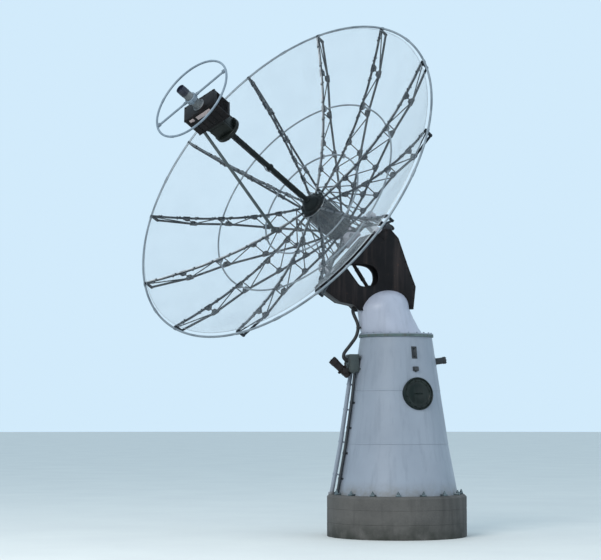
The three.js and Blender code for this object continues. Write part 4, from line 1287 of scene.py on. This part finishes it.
def makeBearing(name, along, depth):
    half, radius, length = bearing["half"], bearing["radius"], bearing["length"]
    low = seatGap - depth
    step = low + bearing["foot"]
    arc = [(radius * cos(pi * i / 24), radius * sin(pi * i / 24)) for i in range(25)]
    outline = [(-half, low), (half, low), (half, step), (0.112, step + 0.004), (radius, -0.02)] + arc
    outline += [(-radius, -0.02), (-0.112, step + 0.004), (-half, step)]
    body = flatPlate(outline, along - length / 2, length)
    body = drill(body, rod((0, along - 0.1, 0), (0, along + 0.1, 0), bearing["bore"], 48))
    parts = [soften(body, 0.004, 3)]
    for side in (-1, 1):
        ear = slab((0.07, along - 0.028, -0.022), (0.118, along + 0.028, 0.012), 0.005, 3)
        if side < 0:
            settle(ear, shift(-0.188, 0, 0))
        profile = [(0.0475, 0), (0.072, 0), (0.072, 0.005), (0.066, 0.009), (0.0475, 0.009)]
        cover = soften(turned(profile, 48, closed=True), 0.001, 1)
        heads = boltRing(0.01, 0.06, 0.009, 6)
        end = shift(0, along + side * length / 2, 0) @ sided(facingY, side)
        parts += [ear, settle(joined([cover, heads]), end)]
    parts.append(screwsAt(0.02, grid((-0.102, 0.102), [along], [0.012])))
    parts.append(screwsAt(0.022, grid((-0.126, 0.126), (along - 0.022, along + 0.022), [step])))
    parts.append(settle(turned([
        (0, 0), (0.008, 0), (0.008, 0.008), (0.004, 0.01), (0.004, 0.015), (0.006, 0.018), (0.003, 0.022),
        (0, 0.022)
    ], 16), shift(0, along, radius - 0.001)))
    dress(parts, name, "pedestal", bearingCast, place=seatPlace)


drive = {
    "motor": -0.325, "pinion": -0.218, "pinionRadius": 0.024, "pinionTeeth": 14,
    "sector": 0.186, "sectorTeeth": 46, "sectorFoot": 0.45, "sectorThick": 0.02,
}


def toothed(radius, count, depth, start, end):
    # crests and roots round an arc, as (x, z) points
    points = []
    for i in range(count):
        for part, reach in ((0.08, radius - depth), (0.32, radius), (0.6, radius), (0.84, radius - depth)):
            angle = start + (end - start) * (i + part) / count
            points.append((reach * cos(angle), reach * sin(angle)))
    return points


def makeDrive():
    housing = slab((-0.08, 0.4, -0.345), (0.08, 0.515, -0.24), 0.028, 6)
    saddle = slab((-0.1415, 0.382, -0.339), (0.1415, 0.468, -0.2375), 0.006, 3)
    seam = slab((-0.082, 0.452, -0.347), (0.082, 0.458, -0.238), 0.002, 1)
    motor = turned([(0, 0), (0.041, 0), (0.045, 0.005), (0.045, 0.034), (0.04, 0.04), (0, 0.04)], 40)
    fins = [hoop(0.04, 0.049, z, z + 0.003, 40) for z in (0.008, 0.014, 0.02, 0.026)]
    motor = settle(joined([motor] + fins), shift(0, 0.51, drive["motor"]) @ facingY)
    hood = slab((-0.028, 0.512, -0.28), (0.028, 0.545, -0.256), 0.004)
    pinion = flatPlate(toothed(drive["pinionRadius"], drive["pinionTeeth"], 0.005, 0, tau), 0.44, 0.042)
    settle(pinion, shift(0, 0, drive["pinion"]))
    shaft = rod((0, 0.43, drive["pinion"]), (0, 0.498, drive["pinion"]), 0.011, 20)
    arm = slab((-0.026, 0.478, -0.262), (0.026, 0.498, -0.2), 0.006, 3)
    heads = screwsAt(0.02, grid((-0.115, 0.115), (0.402, 0.448), [-0.2375]))
    tip = screwsAt(0.014, [(0, 0.498, drive["pinion"])], facingY)
    breather = rod((-0.05, 0.43, -0.244), (-0.05, 0.43, -0.218), 0.009, 12)
    parts = [housing, saddle, seam, motor, hood, pinion, shaft, arm, heads, tip, breather]
    dress(parts, "hourGearbox", "pedestal", gearboxPaint, place=seatPlace)

    start, end = radians(-170), radians(-10)
    outline = toothed(drive["sector"], drive["sectorTeeth"], 0.007, start, end)
    for i in range(21):
        angle = end + (start + tau - end) * i / 20
        outline.append((0.07 * cos(angle), 0.07 * sin(angle)))
    foot, thick = drive["sectorFoot"], drive["sectorThick"]
    sector = flatPlate(outline, foot, thick)
    for angle in (-135, -90, -45):
        x, z = 0.122 * cos(radians(angle)), 0.122 * sin(radians(angle))
        drill(sector, rod((x, foot - 0.05, z), (x, foot + 0.07, z), 0.029, 32))
    soften(sector, 0.001, 1)
    boss = soften(hoop(0.0455, 0.064, -0.012, 0.034, 48), 0.002)
    heads = boltRing(0.012, 0.0548, 0.034, 6)
    boss = settle(joined([boss, heads]), shift(0, foot, 0) @ facingY)
    dress([sector, boss], "hourSector", "polar_body", bearingCast, place=yokePlace)


axle = {"radius": 0.045, "low": -0.65, "high": 0.49}


def makeAxle():
    wide, low, high = axle["radius"], axle["low"], axle["high"]
    shaft = turned([
        (0, low), (wide - 0.004, low), (wide, low + 0.004), (wide, low + 0.028),
                    (wide - 0.0025, low + 0.03),
        (wide - 0.0025, low + 0.036), (wide, low + 0.038), (wide, high - 0.004), (wide - 0.004, high),
                    (0, high)
    ], 64)
    collar = soften(hoop(wide - 0.001, wide + 0.017, low + 0.014, low + 0.038, 12), 0.002)
    ends = boltRing(0.014, 0.024, high, 4)
    dress([shaft, collar, ends], "polarAxle", "polar_body", shaftSteel,
          place=basis(crossAxis, polarAxis, polarPoint))


yoke = {"ahead": 0.1479, "lean": -0.025, "sleeve": 0.075, "housing": 0.06}


def makeYoke():
    ahead, lean = yoke["ahead"], yoke["lean"]
    wide, narrow = yoke["sleeve"], yoke["sleeve"] - 0.007
    sleeve = turned([
        (0.046, -0.13), (wide, -0.13), (wide, -0.111), (narrow, -0.104), (narrow, 0.104), (wide, 0.111),
        (wide, 0.13), (0.046, 0.13)
    ], 64, closed=True)
    heads = boltRing(0.012, 0.061, 0.13, 8)
    tail = copyAt(heads, facingBack)
    parts = [settle(joined([soften(sleeve, 0.002), heads, tail]), facingY)]
    wide, narrow = yoke["housing"], yoke["housing"] - 0.005
    cross = turned([
        (0.036, -0.128), (wide, -0.128), (wide, -0.112), (narrow, -0.107), (narrow, 0.107), (wide, 0.112),
        (wide, 0.128), (0.036, 0.128)
    ], 64, closed=True)
    parts.append(settle(soften(cross, 0.002), shift(0, lean, ahead) @ facingX))
    saddle = block((-0.058, lean - 0.052, 0.03), (0.058, lean + 0.052, ahead))
    parts.append(soften(saddle, 0.008, 3))
    for y in (lean - 0.04, lean + 0.03):
        for side in (-1, 1):
            web = [(side * 0.05, 0.05), (side * 0.118, ahead - 0.04), (side * 0.118, ahead),
                   (side * 0.05, ahead)]
            parts.append(soften(flatPlate(web, y, 0.01), 0.002, 1))
    for x in (-0.05, 0.04):
        # seen from the side, these hold the block upright on its sleeve
        for side in (-1, 1):
            web = [(lean + side * 0.05, 0.05), (side * 0.12, 0.05), (side * 0.12, 0.07),
                   (lean + side * 0.05, ahead - 0.02)]
            plate = flatPlate(web, -x - 0.01, 0.01)
            parts.append(soften(settle(plate, turnAbout(pi / 2)), 0.002, 1))
    parts.append(screwsAt(0.016, [(0, lean, ahead + wide - 0.002)]))
    dress(parts, "polarYoke", "polar_body", cradleHighlitPaint, place=yokePlace)


hub = {"radius": 0.175, "top": 0.726, "lug": 0.14, "lugThick": 0.025, "half": 0.062, "axle": 0.035,
       "axleEnd": 0.19}


def makeHub():
    wide = hub["radius"]
    disc = turned([
        (0, 0.075), (wide - 0.012, 0.075), (wide, 0.08), (wide, 0.096), (wide - 0.004, 0.1), (0, 0.1)
    ])
    under = boltRing(0.018, 0.155, -0.075, 12, 0.13, washer=0.014)
    settle(under, facingBack)
    parts = [smooth(disc, 40), under]
    arc = [(hub["half"] * cos(a), hub["half"] * sin(a)) for a in [pi * i / 20 + pi for i in range(21)]]
    for side in (-1, 1):
        low = hub["lug"] if side > 0 else -hub["lug"] - hub["lugThick"]
        plate = flatPlate(arc + [(0.085, 0.078), (-0.085, 0.078)], -low - hub["lugThick"], hub["lugThick"])
        parts.append(soften(settle(plate, turnAbout(pi / 2)), 0.003))
        cap = soften(hoop(0.0355, 0.052, 0, 0.009, 48), 0.002)
        heads = boltRing(0.01, 0.044, 0.009, 6)
        place = shift(side * (hub["lug"] + hub["lugThick"]), 0, 0) @ sided(facingX, side)
        parts.append(settle(joined([cap, heads]), place))
    dress(parts, "hubBase", "dish", cradleHighlitPaint, place=dishPlace)

    across, end = hub["axle"], hub["axleEnd"]
    shaft = turned([
        (0, -end), (across - 0.004, -end), (across, 0.004 - end), (across, end - 0.004),
        (across - 0.004, end), (0, end)
    ], 48)
    centre = settle(hexBolt(0.022), shift(0, 0, end))
    dress([shaft, centre, copyAt(centre, facingBack)], "declinationAxle", "dish", shaftSteel,
          place=dishPlace @ facingX)

    top = hub["top"]
    drum = [(0.16, 0.1006), (wide, 0.1006)]
    for height in (0.21, 0.63):
        drum += bandAt(wide, height, 0.002, 0.005, 0.002)
    drum = turned(drum + [(wide, top), (0.16, top)], closed=True)
    hatch = slab((wide - 0.006, -0.024, 0.36), (wide + 0.004, 0.024, 0.5), 0.003)
    knobs = screwsAt(0.009, grid([wide + 0.004], (-0.017, 0.017), (0.37, 0.43, 0.49)), facingX)
    hatches = copiesAt(joined([hatch, knobs]), around(4, radians(15)))
    dress([smooth(drum, 24), hatches], "hubDrum", "dish", hubPaint, place=dishPlace)

    foot = top + seatGap
    boss = turned([
        (0, foot), (wide, foot), (wide, foot + 0.015), (wide - 0.004, foot + 0.018),
        (0.128, foot + 0.022), (0.12, foot + 0.045), (0.1, foot + 0.07), (0.08, foot + 0.1),
        (0.08, foot + 0.106), (0.076, foot + 0.11), (0, foot + 0.11)
    ])
    heads = boltRing(0.018, 0.152, foot + 0.0185, 12, 0.1, washer=0.014)
    dress([boss, heads], "vertexBoss", "dish", boomPaint, place=dishPlace)


feed = {
    "boomFoot": 0.8367, "boomTop": 2.4997, "boom": 0.035, "joint": 1.64,
    "neck": 0.13, "neckFoot": 2.56, "neckTop": 2.7746, "flange": 0.185, "flangeBolts": 0.163,
    "box": (0.26, 0.14), "boxFoot": 2.7754, "boxTop": 3.09, "snout": 0.062, "snoutTop": 3.46,
    "ring": 0.595, "ringHeight": 3.24, "tube": 0.015,
}
boxPlace = dishPlace @ turnAbout(radians(228))
barPlace = dishPlace @ turnAbout(radians(240))


def makeBoom():
    radius, foot, top, joint = feed["boom"], feed["boomFoot"], feed["boomTop"], feed["joint"]
    profile = [(0, foot), (0.056, foot), (0.056, foot + 0.014), (0.04, foot + 0.02), (radius, foot + 0.05)]
    for height in (joint, top - 0.016):
        wide = 0.051 if height == joint else 0.057
        profile += [(radius, height - 0.02), (0.04, height - 0.016), (wide, height - 0.014),
                    (wide, height - 0.001), (wide - 0.003, height), (wide, height + 0.001),
                    (wide, height + 0.014)]
        if height == joint:
            profile += [(0.04, height + 0.016), (radius, height + 0.02)]
    boom = turned(profile + [(0, profile[-1][1])], 48)
    heads = boltRing(0.01, 0.044, joint + 0.014, 6)
    foots = boltRing(0.012, 0.048, foot + 0.014, 6)
    lead = bentTube(rounded([
        (0.062, 0, foot + 0.03), (0.043, 0, foot + 0.08), (0.043, 0, joint - 0.06),
        (0.064, 0, joint - 0.02), (0.064, 0, joint + 0.02), (0.043, 0, joint + 0.06),
        (0.043, 0, top - 0.09), (0.064, 0, top - 0.05), (0.064, 0, top + 0.004)
    ], 0.02), 0.006, 10)
    clip = soften(hoop(radius, radius + 0.003, -0.006, 0.006, 32), 0.001, 1)
    saddle = slab((radius, -0.01, -0.006), (radius + 0.016, 0.01, 0.006), 0.002, 1)
    clips = copiesAt(joined([clip, saddle]), [shift(0, 0, foot + 0.14 + 0.17 * i) for i in range(9)])
    dress([boom, heads, foots, lead, clips], "feedBoom", "dish", boomPaint, place=barPlace)


strut = {"foot": 0.65, "head": (0.226, 0, 2.745), "radius": 0.022, "crimp": 0.07}


def makeStrut():
    # from a rib's front chord to the foot of the feed box
    seat = frontPoint(strut["foot"], 0.0245)
    head = Vector(strut["head"])
    run = (head - seat).normalized()
    tube = pressedTube(seat + run * 0.03, head - run * 0.012, strut["radius"], 16, strut["crimp"])
    foot = [pad(0.052, 0.034, -0.005, 0.006, 0.003)]
    foot.append(screwsAt(0.016, grid((-0.038, 0.038), (-0.024, 0.024), [0.006])))
    for y in (-0.02, 0.012):
        foot.append(slab((-0.028, y, 0.0), (0.028, y + 0.008, 0.055), 0.003))
    foot.append(rod((0, -0.028, 0.036), (0, 0.028, 0.036), 0.009))
    foot = settle(joined(foot), shift(*seat) @ slopeTurn(frontRun(strut["foot"], 0.05)))
    lugs = [slab((0.2, y, 2.712), (0.25, y + 0.009, 2.773), 0.004) for y in (-0.023, 0.014)]
    plate = slab((0.192, -0.03, 2.766), (0.256, 0.03, 2.7752), 0.002)
    pin = rod((0.226, -0.032, 2.745), (0.226, 0.032, 2.745), 0.01)
    ends = screwsAt(0.016, [(0.226, -0.023, 2.745)], sided(facingY, -1))
    dress([tube, foot, plate, pin, ends] + lugs, "feedStrut", "dish", strutPaint,
          place=barPlace)


def makeFeedNeck():
    half, wide, foot = feed["neck"], feed["flange"], feed["boomTop"] + 0.0007
    floor, top, bolts = feed["neckFoot"], feed["neckTop"], feed["flangeBolts"]
    flange = turned([
        (0, foot), (wide - 0.008, foot), (wide, foot + 0.005), (wide, foot + 0.024),
        (wide - 0.004, foot + 0.028), (wide - 0.004, foot + 0.031), (wide, foot + 0.035),
        (wide, floor - 0.004), (wide - 0.005, floor), (0, floor)
    ])
    turns = [turnAbout(radians(quarter * 90 + part)) for quarter in range(4) for part in (-17, 0, 17)]
    upper = copiesAt(settle(hexBolt(0.017, 0.012), shift(bolts, 0, floor)), turns)
    lower = copiesAt(settle(hexBolt(0.017, 0.012), shift(bolts, 0, foot) @ facingBack), turns)
    case = pad(half, half, floor - 0.01, top, 0.012, 4)
    band = slab((-half - 0.006, -half - 0.006, top - 0.022), (half + 0.006, half + 0.006, top), 0.004)
    panel = slab((half - 0.004, -0.1, floor + 0.03), (half + 0.004, 0.1, top - 0.04), 0.003)
    knobs = screwsAt(0.01, grid([half + 0.004], (-0.09, 0.0, 0.09), (floor + 0.04, top - 0.05)), facingX)
    panels = copiesAt(joined([panel, knobs]), around(4))
    plugs = []
    for y in (-0.05, 0.0, 0.05):
        plug = turned([
            (0, -0.004), (0.016, -0.004), (0.016, 0.006), (0.011, 0.008), (0.011, 0.03), (0.007, 0.034),
            (0.007, 0.042), (0, 0.042)
        ], 20)
        plugs.append(settle(plug, shift(half + 0.004, y, floor + 0.09) @ facingX))
    dress([smooth(flange), upper, lower, case, band, panels] + plugs, "feedNeck", "dish", neckPaint,
          place=boxPlace)


def makeFeedBox():
    wide, deep = feed["box"]
    foot, top = feed["boxFoot"], feed["boxTop"]
    split = top - 0.03
    case = slab((-wide + 0.004, -deep + 0.004, foot), (wide - 0.004, deep - 0.004, split), 0.009, 3)
    lid = pad(wide, deep, split + 0.003, top, 0.008, 3)
    seal = block((-wide + 0.008, -deep + 0.008, split - 0.01), (wide - 0.008, deep - 0.008, split + 0.01))
    skirt = pad(wide, deep, foot, foot + 0.014, 0.004)
    parts = [case, lid, seal, skirt]
    fin = pad(0.012, 0.0025, foot + 0.04, split - 0.03, 0.001, 1)
    parts.append(copiesAt(fin, [shift(side * (wide - 0.008), -0.1 + 0.02 * i, 0)
                                for side in (-1, 1) for i in range(11)]))
    latch = [slab((-0.018, -0.006, -0.028), (0.018, 0.004, 0.012), 0.003),
             slab((-0.011, -0.012, -0.02), (0.011, -0.004, 0.022), 0.003),
             rod((-0.016, -0.006, 0.002), (0.016, -0.006, 0.002), 0.004, 12)]
    latch = settle(joined(latch), shift(0, -deep, split))
    parts.append(copiesAt(latch, [shift(x, 0, 0) for x in (-0.18, 0.0, 0.18)]))
    hinge = rod((-0.03, 0, 0), (0.03, 0, 0), 0.007)
    hinge = settle(joined([hinge, slab((-0.028, -0.008, -0.02), (0.028, 0, 0.02), 0.002)]),
                   shift(0, deep + 0.002, split - 0.06))
    parts.append(copiesAt(hinge, [shift(x, 0, 0) for x in (-0.2, 0.2)]))
    stiff = slab((-0.004, deep - 0.006, foot + 0.03), (0.004, deep + 0.003, split - 0.1), 0.002, 1)
    parts.append(copiesAt(stiff, [shift(x, 0, 0) for x in (-0.17, -0.085, 0.0, 0.085, 0.17)]))
    gland = turned([
        (0, 0.004), (0.018, 0.004), (0.018, -0.01), (0.013, -0.012), (0.013, -0.026), (0.009, -0.03),
        (0, -0.03)
    ], 20)
    parts.append(copiesAt(gland, [shift(*spot) for spot in grid((-0.21, 0.21), (-0.07, 0.07), [foot])]))
    parts.append(screwsAt(0.012, grid((-wide + 0.02, -0.09, 0.09, wide - 0.02),
                                      (-deep + 0.018, deep - 0.018), [top])))
    dress(parts, "feedBox", "dish", feedPaint, place=boxPlace)

    # pinkish plates on the box front, where highlights fall on it: painted highlights
    plates = []
    for x, z, across, tall in ((-0.025, 3.024, 0.115, 0.03), (0.165, 3.034, 0.034, 0.024)):
        plate = slab((x - across, deep - 0.006, z - tall), (x + across, deep + 0.001, z + tall), 0.002)
        heads = screwsAt(0.006, [(x + side * (across - 0.008), deep + 0.001, z + up * (tall - 0.007))
                                 for side in (-1, 1) for up in (-1, 1)], facingY)
        plates += [plate, heads]
    dress(plates, "blankPlates", "dish", highlightPlateMetal, place=boxPlace)


def makeSnout():
    radius, foot, top = feed["snout"], feed["boxTop"] + 0.0004, feed["snoutTop"]
    joint = top - 0.1
    tube = turned([
        (0, foot), (0.088, foot), (0.088, foot + 0.008), (0.085, foot + 0.01), (0.066, foot + 0.011),
        (radius - 0.001, foot + 0.02), (radius - 0.001, joint - 0.006), (radius + 0.002, joint - 0.004),
        (radius + 0.002, joint - 0.0005), (0, joint - 0.0005)
    ], 64)
    heads = boltRing(0.011, 0.076, foot + 0.01, 8)
    dress([tube, heads], "feedSnout", "dish", snoutPaint, place=barPlace)
    tip = turned([
        (0, joint), (radius + 0.002, joint), (radius + 0.002, joint + 0.004), (radius, joint + 0.007),
        (radius, top - 0.004), (radius - 0.002, top), (radius - 0.008, top), (radius - 0.014, top - 0.03),
        (0, top - 0.034)
    ], 64)
    rings = [hoop(radius - 0.002, radius + 0.0015, z, z + 0.003, 64) for z in (joint + 0.03, joint + 0.045)]
    dress([tip] + rings, "snoutTip", "dish", tipPaint, place=barPlace)


def makeFeedRing():
    radius, height, tube = feed["ring"], feed["ringHeight"], feed["tube"]
    parts = [tubeRing(radius, height, tube - 0.0005, 144, 16)]
    parts.append(rod((-radius, 0, height), (radius, 0, height), tube - 0.0005, 24))
    collar = turned([
        (0.0628, height - 0.03), (0.079, height - 0.03), (0.082, height - 0.027), (0.082, height + 0.027),
        (0.079, height + 0.03), (0.0628, height + 0.03)
    ], 64, closed=True)
    parts.append(collar)
    ear = slab((-0.016, 0.076, height - 0.026), (0.016, 0.104, height + 0.026), 0.003)
    bolt = screwsAt(0.012, grid([0.016], [0.092], (height - 0.013, height + 0.013)), facingX)
    parts.append(copiesAt(joined([ear, bolt]), around(2)))
    sleeve = soften(rod((0.08, 0, height), (0.125, 0, height), tube + 0.004, 20), 0.002)
    pin = settle(hexBolt(0.01), shift(0.105, 0, height + tube + 0.003))
    parts.append(copiesAt(joined([sleeve, pin]), around(2)))
    clamp = slab((radius - 0.056, -0.02, height - 0.017), (radius + 0.005, 0.02, height + 0.017), 0.005, 3)
    heads = screwsAt(0.011, grid((radius - 0.044, radius - 0.024), (-0.011, 0.011), [height + 0.017]))
    parts.append(copiesAt(joined([clamp, heads]), around(2)))
    coupling = soften(rod((radius, -0.03, height), (radius, 0.03, height), tube + 0.001, 20), 0.0008, 1)
    parts.append(copiesAt(coupling, around(4, pi / 4)))
    dress(parts, "feedRing", "dish", feedRingPaint, place=barPlace)


makePlates()
makeWebs()
makeBrace()
makeBearing("southBearing", -0.56, mount["deck"])
makeBearing("northBearing", 0.33, mount["ledge"])
makeDrive()
makeAxle()
makeYoke()
print("mount done")
makeHub()
makeBoom()
makeStrut()
makeFeedNeck()
makeFeedBox()
makeSnout()
makeFeedRing()
print("feed done")


studio = {
    "floor": (214, 214, 210), "floorSecond": (208, 208, 205), "floorRadius": 140,
    "sky": (213, 238, 255), "skyStrength": 0.97, "aim": Vector((-0.5, 0, 3.5)),
    # name, place, power, size and color
    "lights": (("keyLight", (-12, -12, 14), 2600, 8, (1.0, 0.98, 0.95)),
               ("fillLight", (12, -10, 6), 300, 9, (0.92, 0.96, 1.0))),
    # the eye stands 24.5 m from the pedestal, at eye height above open ground
    "eye": Vector((-7.40, -23.33, 1.70)), "turn": radians(3.15), "pitch": radians(4.4),
    "lens": 104, "sensor": 36, "clip": 400,
}


def makeFloor():
    clearSelection()
    bpy.ops.mesh.primitive_circle_add(vertices=96, radius=studio["floorRadius"], fill_type="NGON")
    floor = bpy.context.object
    floor.name = "floor"
    finish = Finish("pale floor")
    color = finish.mixed(finish.between(finish.noise(0.6, 4), 0.3, 0.7), studio["floor"],
                         studio["floorSecond"])
    floor.data.materials.append(finish.done(color, finish.between(finish.noise(3, 4), 0.3, 0.7, 0.8, 0.9)))


def makeLight():
    world = bpy.data.worlds.new("pale sky")
    world.use_nodes = True
    background = world.node_tree.nodes["Background"]
    background.inputs["Color"].default_value = srgb(studio["sky"])
    background.inputs["Strength"].default_value = studio["skyStrength"]
    bpy.context.scene.world = world
    for name, place, power, size, color in studio["lights"]:
        clearSelection()
        bpy.ops.object.light_add(type="AREA", location=place)
        light = bpy.context.object
        light.name = name
        light.data.energy = power
        light.data.size = size
        light.data.color = color
        light.rotation_euler = rotationTo(Vector(place) - studio["aim"])


def makeCamera():
    eye, pitch = studio["eye"], studio["pitch"]
    level = Matrix.Rotation(studio["turn"], 3, "Z") @ Vector((-eye.x, -eye.y, 0)).normalized()
    aim = level * cos(pitch) + Vector((0, 0, sin(pitch)))
    clearSelection()
    bpy.ops.object.camera_add(location=eye, rotation=rotationTo(-aim))
    camera = bpy.context.object
    camera.name = "camera"
    camera.data.lens = studio["lens"]
    camera.data.sensor_width = studio["sensor"]
    camera.data.clip_end = studio["clip"]
    bpy.context.scene.camera = camera


makeFloor()
makeLight()
makeCamera()
bpy.context.scene.view_settings.view_transform = "Standard"
print("scene ready")
